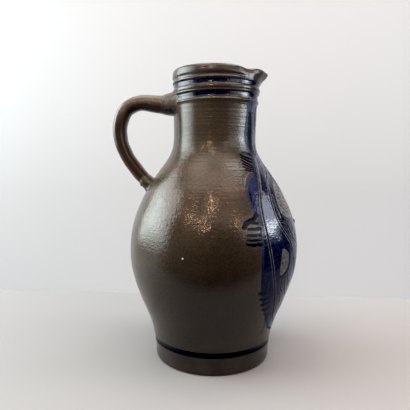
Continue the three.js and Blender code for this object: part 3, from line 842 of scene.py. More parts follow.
def sunk(p, deep=2.3):
    """Draws what lies inside the wall back to within a few mm of its outer face, so nothing shows in the bore."""
    lean = curve(LEAN, p[..., 2])
    dx, dy = p[..., 0] - lean, p[..., 1]
    r = np.hypot(dx, dy)
    face = np.interp(p[..., 2], OUTER_Z, OUTER_R) - 0.3
    below = np.clip(face - r, 0, None)
    most = float(below.max())
    if most <= deep:
        return p
    scale = np.where(below > 0, (face - below * deep / most) / r, 1.0)
    return np.stack([lean + dx * scale, dy * scale, p[..., 2]], -1)


def sweep(name, ts, sides, shape):
    """A closed skin along the strap. shape(t, u, w, angle) gives (thickness offset, width offset) in mm."""
    u, w, ang = section(sides)
    c, tan, out = strap_at(ts)
    grid = []
    for i, t in enumerate(ts):
        q, k = shape(t, u, w, ang, c[i])
        x = c[i, 0] + out[i, 0] * q
        z = c[i, 1] + out[i, 1] * q
        grid.append(np.stack([x, k, z], 1))
    grid = sunk(np.array(grid))
    n, m = grid.shape[:2]
    ends = []
    for ring in (grid[0], grid[-1]):
        mid = ring.mean(0)
        lean = float(curve(LEAN, mid[2]))
        floor_r = float(np.interp(mid[2], OUTER_Z, OUTER_R)) - 2.6
        r = math.hypot(mid[0] - lean, mid[1])
        if r < floor_r:
            mid = np.array([lean + (mid[0] - lean) * floor_r / r, mid[1] * floor_r / r, mid[2]])
        ends.append(mid)
    pts = np.vstack([grid.reshape(-1, 3), np.array(ends)]) / 1000
    faces = []
    for i in range(n - 1):
        for j in range(m):
            a, b = i * m + j, i * m + (j + 1) % m
            faces.append((a, b, b + m, a + m))
    for j in range(m):
        b = (j + 1) % m
        faces.append((b, j, n * m))
        faces.append(((n - 1) * m + j, (n - 1) * m + b, n * m + 1))
    return mesh_object(name, pts, faces), grid


def strap_shape(t, u, w, ang, c):
    thick, wide = c[2] - 0.04, c[3]
    q = u * thick
    k = w * wide
    # two faint finger flutes down the outer face, and a slightly uneven pull
    outer_face = smooth(u, 0.3, 0.9)
    q = q - outer_face * 0.35 * np.exp(-(((np.abs(w) - 0.42) / 0.22) ** 2)) * smooth(t, 0.1, 0.25) * (1 - smooth(t, 0.7, 0.85))
    q = q + 0.10 * np.sin(9.0 * t * 2 * math.pi + 2 * ang) * smooth(t, 0.12, 0.2) * (1 - smooth(t, 0.8, 0.9))
    k = k + 0.25 * wavy(21, (np.full_like(w, t), 0.4)) * w
    return q, k


strap, strap_grid = sweep("pulled_strap", np.linspace(0.035, 0.955, 170), 56, strap_shape)
strap.data.shade_smooth()


def upper_shape(t, u, w, ang, c):
    end = 0.150
    near = np.clip((end - t) / (end - 0.045), 0, 1.35)
    thick, wide = c[2], c[3]
    fade = -0.35 + 1.15 * smooth(near, 0.0, 0.80)
    up_side = 0.5 + 0.5 * u / np.maximum(np.abs(u), 1e-6) * np.abs(u)
    flare_q = (3.6 * up_side + 1.6 * (1 - up_side)) * near**2.0
    q = u * (thick + fade + flare_q)
    k = w * (wide + fade + 4.2 * near**2.0)
    lump = 0.28 * wavy(31, (ang * 57, 110), (np.full_like(ang, t), 0.09)) * smooth(near, 0.1, 0.5)
    return q + u * lump, k + w * lump


def lower_shape(t, u, w, ang, c):
    start = 0.835
    near = np.clip((t - start) / (0.93 - start), 0, 1.3)
    thick, wide = c[2], c[3]
    fade = -0.35 + 0.90 * smooth(near, 0.0, 0.42)
    q = u * (thick + fade + 2.1 * near**2.0)
    k = w * (wide + fade + 4.6 * near**1.8)
    # the crescent left by a thumb, and the hollow it pressed below it
    bow = (near - 0.30 - 0.16 * (1 - np.abs(w))) / 0.085
    face = smooth(u, -0.15, 0.55)
    q = q + face * 0.60 * np.exp(-bow * bow)
    pit = ((near - 0.78) / 0.30) ** 2 + (w / 0.72) ** 2
    q = q - smooth(u, 0.0, 0.7) * 1.5 * np.exp(-pit * 1.3)
    side = ((near - 0.80) / 0.26) ** 2 + ((u - 0.1) / 0.6) ** 2
    k = k - np.sign(w) * smooth(np.abs(w), 0.4, 0.95) * 1.1 * np.exp(-side)
    return q, k


upper, _ = sweep("upper_luting", np.linspace(0.012, 0.150, 44), 72, upper_shape)
lower, _ = sweep("lower_luting", np.linspace(0.835, 0.985, 52), 72, lower_shape)

# ---------------------------------------------------------------------------------------------
# The bead on the front
# ---------------------------------------------------------------------------------------------
bead_verts, bead_faces = [], []
BN, BM = 28, 18
tilt = math.radians(-16.5)
seat = 82.35 + float(curve(LEAN, 140.0))
for j in range(BM + 1):
    th = math.pi * j / BM
    for i in range(BN):
        ph = 2 * math.pi * i / BN
        a = 1 + 0.03 * math.sin(2 * ph + 0.7)
        x, y, z = 2.33 * math.cos(th), 2.98 * math.sin(th) * math.cos(ph) * a, 2.98 * math.sin(th) * math.sin(ph) * a
        x, z = x * math.cos(tilt) + z * math.sin(tilt), -x * math.sin(tilt) + z * math.cos(tilt)
        bead_verts.append(((x + seat) / 1000, y / 1000, (z + 140.0) / 1000))
for j in range(BM):
    for i in range(BN):
        a, b = j * BN + i, j * BN + (i + 1) % BN
        if j == 0:
            bead_faces.append((a, b + BN, a + BN))
        elif j == BM - 1:
            bead_faces.append((a, b, a + BN))
        else:
            bead_faces.append((a, b, b + BN, a + BN))
bead = mesh_object("front_boss", bead_verts, bead_faces)

for o in (strap, upper, lower, bead):
    bm = bmesh.new()
    bm.from_mesh(o.data)
    bmesh.ops.remove_doubles(bm, verts=bm.verts, dist=1e-7)
    bmesh.ops.recalc_face_normals(bm, faces=bm.faces)
    bm.to_mesh(o.data)
    bm.free()


# ---------------------------------------------------------------------------------------------
# Materials
# ---------------------------------------------------------------------------------------------
class Tree:
    def __init__(self, name):
        self.mat = bpy.data.materials.new(name)
        self.mat.use_nodes = True
        self.t = self.mat.node_tree
        self.t.nodes.clear()
        self.out = self.t.nodes.new("ShaderNodeOutputMaterial")
        self.bsdf = self.t.nodes.new("ShaderNodeBsdfPrincipled")
        self.t.links.new(self.bsdf.outputs[0], self.out.inputs[0])
        coord = self.t.nodes.new("ShaderNodeTexCoord")
        mm = self.t.nodes.new("ShaderNodeVectorMath")
        mm.operation = "SCALE"
        mm.inputs["Scale"].default_value = 1000.0
        self.t.links.new(coord.outputs["Object"], mm.inputs[0])
        self.mm = mm.outputs[0]
        sep = self.t.nodes.new("ShaderNodeSeparateXYZ")
        self.t.links.new(self.mm, sep.inputs[0])
        self.x, self.y, self.z = sep.outputs

    def put(self, socket, value):
        if hasattr(value, "is_linked") or isinstance(value, bpy.types.NodeSocket):
            self.t.links.new(value, socket)
        elif isinstance(value, (tuple, list)) and len(value) == 3 and len(socket.default_value) == 4:
            socket.default_value = (*value, 1)
        else:
            socket.default_value = value

    def math(self, op, a, b=0.0, c=None, clamp=False):
        n = self.t.nodes.new("ShaderNodeMath")
        n.operation, n.use_clamp = op, clamp
        self.put(n.inputs[0], a)
        self.put(n.inputs[1], b)
        if c is not None:
            self.put(n.inputs[2], c)
        return n.outputs[0]

    def step(self, x, a, b, lo=0.0, hi=1.0):
        n = self.t.nodes.new("ShaderNodeMapRange")
        n.interpolation_type = "SMOOTHSTEP"
        self.put(n.inputs["Value"], x)
        flip = a > b
        self.put(n.inputs["From Min"], b if flip else a)
        self.put(n.inputs["From Max"], a if flip else b)
        self.put(n.inputs["To Min"], hi if flip else lo)
        self.put(n.inputs["To Max"], lo if flip else hi)
        return n.outputs[0]

    def attr(self, name):
        n = self.t.nodes.new("ShaderNodeAttribute")
        n.attribute_name = name
        return n.outputs["Fac"]

    def stretched(self, sx, sy, sz, shift=0.0):
        n = self.t.nodes.new("ShaderNodeVectorMath")
        n.operation = "MULTIPLY_ADD"
        self.put(n.inputs[0], self.mm)
        n.inputs[1].default_value = (sx, sy, sz)
        n.inputs[2].default_value = (shift, shift * 1.7, shift * 0.6)
        return n.outputs[0]

    def noise(self, wave, detail=2.0, rough=0.5, vector=None, shift=0.0):
        """0..1, mean about 0.5, with features about wave mm across."""
        n = self.t.nodes.new("ShaderNodeTexNoise")
        n.inputs["Scale"].default_value = 1.0 / wave
        n.inputs["Detail"].default_value = detail
        n.inputs["Roughness"].default_value = rough
        if vector is None and shift:
            vector = self.stretched(1, 1, 1, shift)
        self.put(n.inputs["Vector"], self.mm if vector is None else vector)
        return n.outputs[0]

    def mix(self, fac, a, b, kind="MIX"):
        n = self.t.nodes.new("ShaderNodeMix")
        n.data_type = "RGBA"
        n.blend_type = kind
        n.clamp_factor = True
        self.put(n.inputs[0], fac)
        self.put(n.inputs[6], a)
        self.put(n.inputs[7], b)
        return n.outputs[2]

    def bump(self, height, distance_mm, strength=1.0, normal=None):
        n = self.t.nodes.new("ShaderNodeBump")
        n.inputs["Strength"].default_value = strength
        n.inputs["Distance"].default_value = distance_mm / 1000
        self.put(n.inputs["Height"], height)
        if normal is not None:
            self.put(n.inputs["Normal"], normal)
        return n.outputs[0]


GREY = (0.0570, 0.0455, 0.0320)
DARK = (0.0325, 0.0240, 0.0155)
WARM = (0.0700, 0.0430, 0.0270)
BLUE_DEEP = (0.0022, 0.0026, 0.0190)
BLUE_MID = (0.0230, 0.0270, 0.0720)
BLUE_THIN = (0.0880, 0.0960, 0.1350)


def clay(m, warm_amount=1.0, dark_amount=0.0):
    """The bare salt glaze: grey-brown, mottled at three sizes, streaked round by the throwing."""
    big = m.noise(70, 2.0, 0.5, shift=13.0)
    middle = m.noise(16, 3.0, 0.55, shift=5.0)
    peel = m.noise(1.5, 2.0, 0.55)
    speck = m.noise(0.75, 1.0, 0.5, shift=40.0)
    streak = m.noise(2.6, 3.0, 0.6, vector=m.stretched(0.035, 0.035, 1.0, 3.0))
    base = m.mix(m.step(big, 0.35, 0.65), DARK, GREY)
    base = m.mix(m.math("MULTIPLY", m.step(middle, 0.42, 0.66), 0.45 * warm_amount), base, WARM)
    base = m.mix(m.step(streak, 0.40, 0.62, 0.0, 0.30), base, m.mix(0.5, base, (0.03, 0.022, 0.016)))
    base = m.mix(m.step(peel, 0.35, 0.65, 0.0, 0.22), base, (0.106, 0.097, 0.082))
    base = m.mix(m.step(speck, 0.66, 0.74, 0.0, 0.55), base, (0.022, 0.013, 0.008))
    if dark_amount:
        base = m.mix(dark_amount, base, (0.030, 0.018, 0.011))
    return base, peel, streak, middle, speck


def finish_glaze(m, colour, peel, streak, middle, rough=0.20, rings=None, calm=None, pebbled=None):
    m.put(m.bsdf.inputs["Base Color"], colour)
    wear = m.math("MULTIPLY_ADD", middle, 0.14, rough - 0.07)
    m.put(m.bsdf.inputs["Roughness"], wear)
    m.bsdf.inputs["IOR"].default_value = 1.5
    m.bsdf.inputs["Specular IOR Level"].default_value = 0.38
    h = m.bump(streak, 0.22, 0.6)
    if rings is not None:
        # the fine horizontal lines left by the wheel, strongest on the neck and shoulder
        lines = m.noise(1.9, 2.0, 0.6, vector=m.stretched(0.012, 0.012, 1.0, 15.0))
        where = m.step(m.z, 120, 200, 0.35, 1.0)
        h = m.bump(m.math("MULTIPLY", lines, where), 0.26, 0.75, h)
        peel = m.math("MULTIPLY", peel, m.step(m.z, 218, 196, 0.45, 1.0))
        # the glaze lies pebbled where the flame met the shoulder
        pebble = m.noise(3.0, 1.0, 0.5, shift=91.0)
        met = m.math("MULTIPLY", m.step(m.z, 122, 142), m.step(m.z, 214, 200))
        h = m.bump(m.math("MULTIPLY", pebble, met), 0.20, 0.8, h)
        peel = m.math("MULTIPLY", peel, m.math("SUBTRACT", 1.0, m.math("MULTIPLY", met, 0.35)))
    if pebbled is not None:
        h = m.bump(m.math("MULTIPLY", m.noise(2.3, 1.0, 0.5, shift=91.0), pebbled), 0.34, 0.8, h)
    if calm is not None:
        # the flooded blue is smoother than the clay's glaze
        peel = m.math("MULTIPLY", peel, m.math("SUBTRACT", 1.0, m.math("MULTIPLY", calm, 0.55)))
    h = m.bump(peel, 0.30, 0.75, h)
    fine = m.noise(0.6, 2.0, 0.5, shift=9.0)
    h = m.bump(fine, 0.05, 0.6, h)
    m.put(m.bsdf.inputs["Normal"], h)


def on_wall(deg, z):
    r = float(np.interp(z, OUTER_Z, OUTER_R))
    a = math.radians(-deg)
    return (r * math.cos(a) + float(curve(LEAN, z)), r * math.sin(a), z)


SPECKS = [on_wall(109.2, 116.9), on_wall(130.6, 46.7)]


def wall_material():
    m = Tree("salt_glazed_wall_clay")
    base, peel, streak, middle, speck = clay(m)
    z, x, y = m.z, m.x, m.y
    # flashing: the shoulder fired redder, the foot and neck stayed grey; part of the shoulder's redness is painted
    # sheen, standing in for the warm overhead light's reflection
    shoulder = m.math("MULTIPLY", m.step(z, 135, 172), m.step(z, 214, 190))
    flash_and_sheen = m.math("MULTIPLY", shoulder, m.step(m.noise(46, 2.0, 0.5, shift=21.0), 0.36, 0.62))
    base = m.mix(m.math("MULTIPLY", flash_and_sheen, 0.55), base, (0.112, 0.068, 0.050))
    # orange specks on the side of the belly: faint painted glints, standing in for the warm lamps' sparkle on the glaze
    side = m.math("MULTIPLY", m.step(z, 132, 150), m.step(z, 192, 178))
    orange_glints = m.math("MULTIPLY", side, m.step(m.noise(3.2, 3.0, 0.7, shift=33.0), 0.58, 0.68))
    base = m.mix(m.math("MULTIPLY", orange_glints, 0.25), base, (0.24, 0.12, 0.06))
    # painted shade: the body is darkened low down, fully on the front and back, less towards the lip and least towards
    # the handle, the side the left window lights
    away = m.math("MULTIPLY", m.step(x, -76, -22, 0.30, 1.0), m.step(x, 74, 22, 0.55, 1.0))
    low = m.math("MULTIPLY", m.step(z, 150, 84), away)
    base = m.mix(m.math("MULTIPLY", low, 0.68), base, (0.023, 0.0170, 0.0120))
    # painted shade: darker still, mottled, round the foot on the front and back
    foot = m.math("MULTIPLY", m.step(z, 34, 18), away)
    base = m.mix(m.math("MULTIPLY", foot, m.step(m.noise(16, 2.0, 0.5, shift=52.0), 0.35, 0.62, 0.35, 0.80)), base, (0.018, 0.0135, 0.0100))
    # the rim fired to a cooler, pinker grey
    base = m.mix(m.math("MULTIPLY", m.step(z, 277, 284), 0.55), base, (0.062, 0.050, 0.048))

    ground, brush, stem, leaf, cut = (m.attr(n) for n in ("ground", "brush", "stem", "leaf", "cut"))
    band, wash = m.attr("band"), m.attr("wash")
    # hand-laid edges
    wob = m.math("MULTIPLY_ADD", m.noise(3.4, 2.0, 0.6, shift=2.0), 1.3, -0.65)
    fine = m.math("MULTIPLY_ADD", m.noise(0.8, 1.0, 0.5, shift=7.0), 0.4, -0.2)
    edge = m.math("ADD", wob, fine)
    small_edge = m.math("MULTIPLY", edge, 0.45)
    inside = m.math("ADD", ground, m.math("MULTIPLY", edge, 0.9))
    on_brush = m.math("ADD", brush, small_edge)
    painted = m.math("MAXIMUM", m.step(inside, -0.35, 0.35), m.step(on_brush, -0.3, 0.3))
    in_leaf = m.step(m.math("ADD", leaf, small_edge), 0.15, 0.75)
    painted = m.math("MULTIPLY", painted, m.math("SUBTRACT", 1.0, in_leaf))
    in_band = m.step(m.math("ADD", band, small_edge), -0.25, 0.3)
    painted = m.math("MAXIMUM", painted, in_band)
    slip, tick = m.attr("slip"), m.attr("tick")
    light = m.step(m.math("ADD", slip, m.math("MULTIPLY", edge, 0.3)), -0.15, 0.35)
    painted = m.math("MULTIPLY", painted, m.math("SUBTRACT", 1.0, m.math("MULTIPLY", light, 0.85)))
    # the burr beside a cut stem is wiped clean
    worn = m.step(m.noise(5.0, 2.0, 0.6, shift=61.0), 0.30, 0.62, 0.45, 1.0)
    worn = m.math("MULTIPLY", worn, m.step(z, 66, 128, 0.25, 1.0))
    strip = m.math("MULTIPLY", m.math("MULTIPLY", m.step(stem, 0.66, 0.95), m.step(stem, 1.95, 1.55)), worn)
    painted = m.math("MULTIPLY", painted, m.math("SUBTRACT", 1.0, m.math("MULTIPLY", strip, 0.62)))
    burr = m.math("MULTIPLY", m.step(cut, 0.62, 0.85), m.step(cut, 1.45, 1.10))
    painted = m.math("MULTIPLY", painted, m.math("SUBTRACT", 1.0, m.math("MULTIPLY", burr, 0.40)))

    # depth of the blue: pools at edges and in cuts, thins where the brush dragged
    drag = m.noise(7.5, 3.0, 0.6, shift=17.0)
    patch = m.noise(22, 2.0, 0.5, shift=28.0)
    thin = m.math("ADD", wash, m.math("MULTIPLY_ADD", drag, 0.75, -0.375))
    thin = m.math("ADD", thin, m.math("MULTIPLY_ADD", patch, 0.6, -0.30))
    rim_dark = m.step(ground, 0.6, 3.2)
    thin = m.math("MULTIPLY", thin, rim_dark)
    thin = m.math("MULTIPLY", thin, m.step(brush, 0.1, -0.6))
    near_leaf = m.step(leaf, -0.3, -2.2)
    thin = m.math("MULTIPLY", thin, m.math("MULTIPLY_ADD", near_leaf, 0.7, 0.3))
    thin = m.math("MULTIPLY", thin, m.math("SUBTRACT", 1.0, m.math("MULTIPLY", in_band, 0.8)))
    blue = m.mix(m.step(thin, 0.08, 0.55), BLUE_DEEP, BLUE_MID)
    blue = m.mix(m.step(thin, 0.55, 1.0, 0.0, 0.75), blue, BLUE_THIN)
    blue = m.mix(m.step(peel, 0.4, 0.7, 0.0, 0.16), blue, (0.09, 0.11, 0.22))
    blue = m.mix(m.math("MULTIPLY", in_band, m.step(z, 60, 40)), blue, (0.0018, 0.0018, 0.0040))
    blue = m.mix(m.math("MULTIPLY", m.step(on_brush, -0.4, 0.2), 0.80), blue, (0.0024, 0.0020, 0.0060))
    colour = m.mix(painted, base, blue)
    # a blue bloom runs a little past the paint, and over the lower front
    halo = m.math("MULTIPLY", m.step(inside, -5.0, 0.2), m.math("SUBTRACT", 1.0, painted))
    colour = m.mix(m.math("MULTIPLY", halo, 0.22), colour, (0.040, 0.044, 0.062))
    # strips and reserved leaves: paler, greener grey
    pale = m.math("MAXIMUM", m.math("MULTIPLY", m.math("MAXIMUM", strip, m.math("MULTIPLY", burr, 0.5)), m.step(ground, -1.0, 0.5)), m.math("MULTIPLY", in_leaf, 0.8))
    pale = m.math("MAXIMUM", pale, m.math("MULTIPLY", light, m.math("MAXIMUM", m.step(brush, -4.0, -1.6, 0.75, 0.22), m.step(z, 188, 192, 0.0, 0.60))))
    blotch = m.step(m.noise(4.2, 3.0, 0.6, shift=71.0), 0.38, 0.64)
    colour = m.mix(m.math("MULTIPLY", pale, 0.75), colour, m.mix(blotch, (0.092, 0.090, 0.086), (0.185, 0.188, 0.180)))
    # cuts hold dark blue
    groove = m.step(stem, 0.80, 0.50)
    scratch = m.step(cut, 0.62, 0.28)
    outline = m.math("MULTIPLY", m.step(leaf, -0.75, -0.15), m.step(leaf, 0.75, 0.25))
    lines = m.math("MAXIMUM", m.math("MAXIMUM", groove, m.math("MULTIPLY", scratch, 0.85)), outline)
    lines = m.math("MULTIPLY", lines, m.step(m.math("MAXIMUM", ground, leaf), -2.0, 0.3))
    colour = m.mix(m.math("MULTIPLY", lines, 0.9), colour, (0.0045, 0.0048, 0.0125))
    ticks = m.step(m.math("ADD", tick, m.math("MULTIPLY", edge, 0.35)), -0.30, 0.20)
    colour = m.mix(m.math("MULTIPLY", ticks, 0.88), colour, (0.020, 0.021, 0.028))
    # a pale grog speck and a dark iron spot on the side, and a painted shadow: a near-black spot in the crevice under
    # the strap's upper root
    for (sx, sy, sz), size_mm, tone in ((SPECKS[0], 1.15, (0.52, 0.51, 0.48)), (SPECKS[1], 1.0, (0.010, 0.007, 0.005)), ((-41.0, -11.0, 248.6), 2.4, (0.008, 0.006, 0.005))):
        away = m.t.nodes.new("ShaderNodeVectorMath")
        away.operation = "DISTANCE"
        m.put(away.inputs[0], m.mm)
        away.inputs[1].default_value = (sx, sy, sz)
        colour = m.mix(m.step(away.outputs["Value"], size_mm, size_mm * 0.55), colour, tone)
    # the bare underside
    under = m.attr("under")
    bare = m.step(m.math("ADD", under, m.math("MULTIPLY_ADD", middle, 2.4, -1.2)), -0.6, 0.8)
    dry = m.mix(m.noise(5, 3.0, 0.6, shift=50.0), (0.20, 0.155, 0.115), (0.30, 0.245, 0.19))
    dry = m.mix(m.step(speck, 0.6, 0.7, 0.0, 0.6), dry, (0.07, 0.045, 0.03))
    colour = m.mix(bare, colour, dry)
    finish_glaze(m, colour, peel, streak, middle, 0.135, rings=True, calm=painted)
    rough = m.bsdf.inputs["Roughness"].links[0].from_socket
    rough = m.math("ADD", rough, m.math("MULTIPLY", bare, 0.5))
    rough = m.math("ADD", rough, m.math("MULTIPLY", painted, 0.01))
    foot_line = m.math("MULTIPLY", in_band, m.step(z, 60, 40))
    rough = m.math("ADD", rough, m.math("MULTIPLY", foot_line, 0.03))
    # pooled cobalt dries to a duller edge
    pool = m.math("MULTIPLY", m.math("MULTIPLY", painted, m.step(ground, -0.6, 0.2)), m.step(ground, 3.4, 1.4))
    rough = m.math("ADD", rough, m.math("MULTIPLY", pool, 0.26))
    rough = m.math("ADD", rough, m.math("MULTIPLY", ticks, 0.10))
    # the shoulder's glaze ran thickest and glossiest
    met = m.math("MULTIPLY", m.step(z, 122, 142), m.step(z, 186, 170))
    rough = m.math("SUBTRACT", rough, m.math("MULTIPLY", met, 0.040))
    rough = m.math("ADD", rough, m.math("MULTIPLY", m.math("MULTIPLY", m.step(z, 164, 180), m.step(z, 208, 200)), 0.085))
    rough = m.math("ADD", rough, m.math("MULTIPLY", m.math("MULTIPLY", m.step(z, 200, 210), m.step(z, 262, 252)), 0.070))
    rough = m.math("ADD", rough, m.math("MULTIPLY", m.step(z, 277, 283), 0.070))
    m.put(m.bsdf.inputs["Roughness"], rough)
    # thick cobalt, laid on last, stayed duller than the glaze round it
    dull = m.math("MAXIMUM", m.math("MULTIPLY", foot_line, 0.30), m.math("MULTIPLY", m.step(on_brush, -0.4, 0.2), 0.24))
    dull = m.math("MAXIMUM", dull, m.math("MULTIPLY", m.math("MAXIMUM", lines, ticks), 0.20))
    dull = m.math("MAXIMUM", dull, m.math("MULTIPLY", m.math("MULTIPLY", painted, m.step(z, 136, 98)), 0.25))
    m.put(m.bsdf.inputs["Specular IOR Level"], m.math("SUBTRACT", 0.38, dull))
    return m.mat


def strap_material(name, dark, warm, pale=0.0, crevice_shadows=()):
    m = Tree(name)
    base, peel, streak, middle, speck = clay(m, warm, dark)
    along = m.noise(3.2, 3.0, 0.6, vector=m.stretched(0.25, 1.0, 0.25, 8.0))
    base = m.mix(m.step(along, 0.4, 0.65, 0.0, 0.35), base, (0.028, 0.017, 0.011))
    low = m.step(m.z, 225, 190)
    base = m.mix(m.math("MULTIPLY", low, 0.35), base, (0.062, 0.034, 0.021))
    # painted light: the strap's upper arch is lighter and redder on its side, and lighter again where it faces up, as
    # the overhead lights fall on it
    facing = m.t.nodes.new("ShaderNodeNewGeometry")
    split = m.t.nodes.new("ShaderNodeSeparateXYZ")
    m.put(split.inputs[0], facing.outputs["Normal"])
    arch = m.math("MULTIPLY", m.step(m.z, 236, 252), m.step(m.noise(9, 2.0, 0.5, shift=44.0), 0.30, 0.60, 0.70, 1.0))
    side = m.math("MULTIPLY", arch, m.step(split.outputs[2], -0.55, 0.05))
    base = m.mix(m.math("MULTIPLY", side, 0.80), base, (0.138, 0.112, 0.094))
    top = m.math("MULTIPLY", arch, m.step(split.outputs[2], 0.15, 0.85))
    base = m.mix(m.math("MULTIPLY", top, 0.85), base, (0.128, 0.100, 0.086))
    # painted glints: small pale specks along the top of the arch's side, standing in for light caught by the glaze's
    # tiny bumps
    glint_specks = m.math("MULTIPLY", m.math("MULTIPLY", side, m.step(m.z, 254, 259)), m.step(m.noise(1.5, 2.0, 0.6, shift=12.0), 0.62, 0.70))
    base = m.mix(m.math("MULTIPLY", glint_specks, 0.6), base, (0.34, 0.30, 0.25))
    if pale:
        near = m.step(m.x, -56, -46) if name.startswith("upper") else 1.0
        near = m.math("MULTIPLY", near, m.step(m.noise(6, 2.0, 0.5, shift=81.0), 0.30, 0.60, 0.4, 1.0))
        base = m.mix(m.math("MULTIPLY", near, pale), base, (0.092, 0.088, 0.074))
    # painted shadow: near-black spots where the crevice under the upper root lies in shade
    for (sx, sy, sz), size in crevice_shadows:
        flat = m.t.nodes.new("ShaderNodeVectorMath")
        flat.operation = "MULTIPLY"
        m.put(flat.inputs[0], m.mm)
        flat.inputs[1].default_value = (1.0, 0.2, 1.0)
        away = m.t.nodes.new("ShaderNodeVectorMath")
        away.operation = "DISTANCE"
        m.put(away.inputs[0], flat.outputs[0])
        away.inputs[1].default_value = (sx, sy * 0.2, sz)
        reach = m.math("ADD", away.outputs["Value"], m.math("MULTIPLY", peel, 1.4))
        base = m.mix(m.step(reach, size + 0.9, size + 0.3), base, (0.006, 0.005, 0.005))
    finish_glaze(m, base, peel, along, middle, 0.19, pebbled=side)
    return m.mat


def bead_material():
    m = Tree("cobalt_bead_clay")
    base, peel, streak, middle, speck = clay(m)
    blue = m.mix(m.step(m.noise(2.2, 2.0, 0.5), 0.45, 0.7, 0.0, 0.5), (0.002, 0.002, 0.004), (0.006, 0.007, 0.022))
    finish_glaze(m, blue, peel, streak, middle, 0.60)
    m.bsdf.inputs["Specular IOR Level"].default_value = 0.02
    return m.mat


wall.data.materials.append(wall_material())
strap_mat = strap_material("salt_glazed_strap_clay", 0.34, 0.8)
upper_mat = strap_material("upper_luting_glaze", 0.34, 0.8, 0.30, (((-48.0, -11.5, 252.2), 1.2), ((-44.3, -11.5, 251.6), 1.6), ((-42.3, -11.5, 249.0), 1.7)))
lower_mat = strap_material("lower_luting_glaze", 0.20, 0.6, 0.38)
strap.data.materials.append(strap_mat)
upper.data.materials.append(upper_mat)
lower.data.materials.append(lower_mat)
bead.data.materials.append(bead_material())

for obj, node, slot in (
    (wall, "vessel_body", "salt_glazed_wall"),
    (strap, "handle", "salt_glazed_strap"),
    (upper, "handle_upper_luting", "upper_luting_clay"),
    (lower, "handle_lower_luting", "lower_luting_clay"),
    (bead, "front_bead", "cobalt_bead"),
):
    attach(obj, "root")
    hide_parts(node)

# ---------------------------------------------------------------------------------------------
# Floor, backdrop, lights, camera
# ---------------------------------------------------------------------------------------------
def plain_material(name, colour, rough=0.8, glow=0.0, gloss=0.2):
    mat = bpy.data.materials.new(name)
    mat.use_nodes = True
    b = mat.node_tree.nodes["Principled BSDF"]
    b.inputs["Base Color"].default_value = (*colour, 1)
    b.inputs["Roughness"].default_value = rough
    b.inputs["Specular IOR Level"].default_value = gloss
    if glow:
        b.inputs["Emission Color"].default_value = (*colour, 1)
        b.inputs["Emission Strength"].default_value = glow
    return mat


EDGE_Y, TURN = 0.195, math.radians(-2.45)


def quad(name, corners, mat):
    o = mesh_object(name, corners, [(0, 1, 2, 3)], False)
    o.data.materials.append(mat)
    return o


def far(x, back=0.0):
    return (x, EDGE_Y + x * math.tan(TURN) + back)


table_mat = plain_material("table_paint", (0.266, 0.271, 0.281), 0.6, 0.0, 0.2)
tn, tl = table_mat.node_tree.nodes, table_mat.node_tree.links
# painted light: the table is lighter towards the right, standing in for more fill light on that side
spread = tn.new("ShaderNodeTexCoord")
parts = tn.new("ShaderNodeSeparateXYZ")
sweep = tn.new("ShaderNodeMapRange")
sweep.inputs["From Min"].default_value, sweep.inputs["From Max"].default_value = -0.06, 0.20
shade = tn.new("ShaderNodeMix")
shade.data_type = "RGBA"
shade.inputs[6].default_value, shade.inputs[7].default_value = (0.272, 0.271, 0.280, 1), (0.322, 0.315, 0.321, 1)
tl.new(spread.outputs["Object"], parts.inputs[0])
tl.new(parts.outputs[0], sweep.inputs["Value"])
tl.new(sweep.outputs[0], shade.inputs[0])
tl.new(shade.outputs[2], tn["Principled BSDF"].inputs["Base Color"])
quad("table_top", [(-0.75, -0.185, -0.0003), (0.325, -0.185, -0.0003), (*far(0.325), -0.0003), (*far(-0.75), -0.0003)],
     table_mat)
# painted light: the backdrop glows as well as reflecting, brightest low down, in a strip at the far left and rising
# towards the right
backdrop_mat = plain_material("backdrop_glowing_paint", (0.398, 0.396, 0.409), 0.9, 0.30, 0.0)
nodes, links = backdrop_mat.node_tree.nodes, backdrop_mat.node_tree.links
spot = nodes.new("ShaderNodeTexCoord")
axes = nodes.new("ShaderNodeSeparateXYZ")
ramp = nodes.new("ShaderNodeMapRange")
ramp.inputs["From Min"].default_value, ramp.inputs["From Max"].default_value = -0.22, 0.12
ramp.inputs["To Min"].default_value, ramp.inputs["To Max"].default_value = 0.54, 0.23
across = nodes.new("ShaderNodeMapRange")
across.inputs["From Min"].default_value, across.inputs["From Max"].default_value = -0.84, -0.64
across.inputs["To Min"].default_value, across.inputs["To Max"].default_value = 0.8, 0.0
both = nodes.new("ShaderNodeMath")
rightward = nodes.new("ShaderNodeMapRange")
rightward.inputs["From Min"].default_value, rightward.inputs["From Max"].default_value = -0.45, 0.5
rightward.inputs["To Min"].default_value, rightward.inputs["To Max"].default_value = 0.0, 0.21
total_glow = nodes.new("ShaderNodeMath")
links.new(spot.outputs["Object"], axes.inputs[0])
links.new(axes.outputs[2], ramp.inputs["Value"])
links.new(axes.outputs[0], across.inputs["Value"])
links.new(ramp.outputs[0], both.inputs[0])
links.new(across.outputs[0], both.inputs[1])
links.new(axes.outputs[0], rightward.inputs["Value"])
links.new(both.outputs[0], total_glow.inputs[0])
links.new(rightward.outputs[0], total_glow.inputs[1])
links.new(total_glow.outputs[0], backdrop_mat.node_tree.nodes["Principled BSDF"].inputs["Emission Strength"])
quad("backdrop", [(*far(-1.9, 0.57), -0.35), (*far(1.2, 0.57), -0.35), (*far(1.2, 0.57), 2.2), (*far(-1.9, 0.57), 2.2)], backdrop_mat)


def light(name, where, at, wide, tall, power, colour=(1, 1, 1)):
    data = bpy.data.lights.new(name, "AREA")
    data.shape = "RECTANGLE"
    data.size, data.size_y = wide, tall
    data.energy = power
    data.color = colour
    o = bpy.data.objects.new(name, data)
    o.location = where
    o.rotation_euler = (Vector(where) - Vector(at)).to_track_quat("Z", "Y").to_euler()
    bpy.context.scene.collection.objects.link(o)
    return o


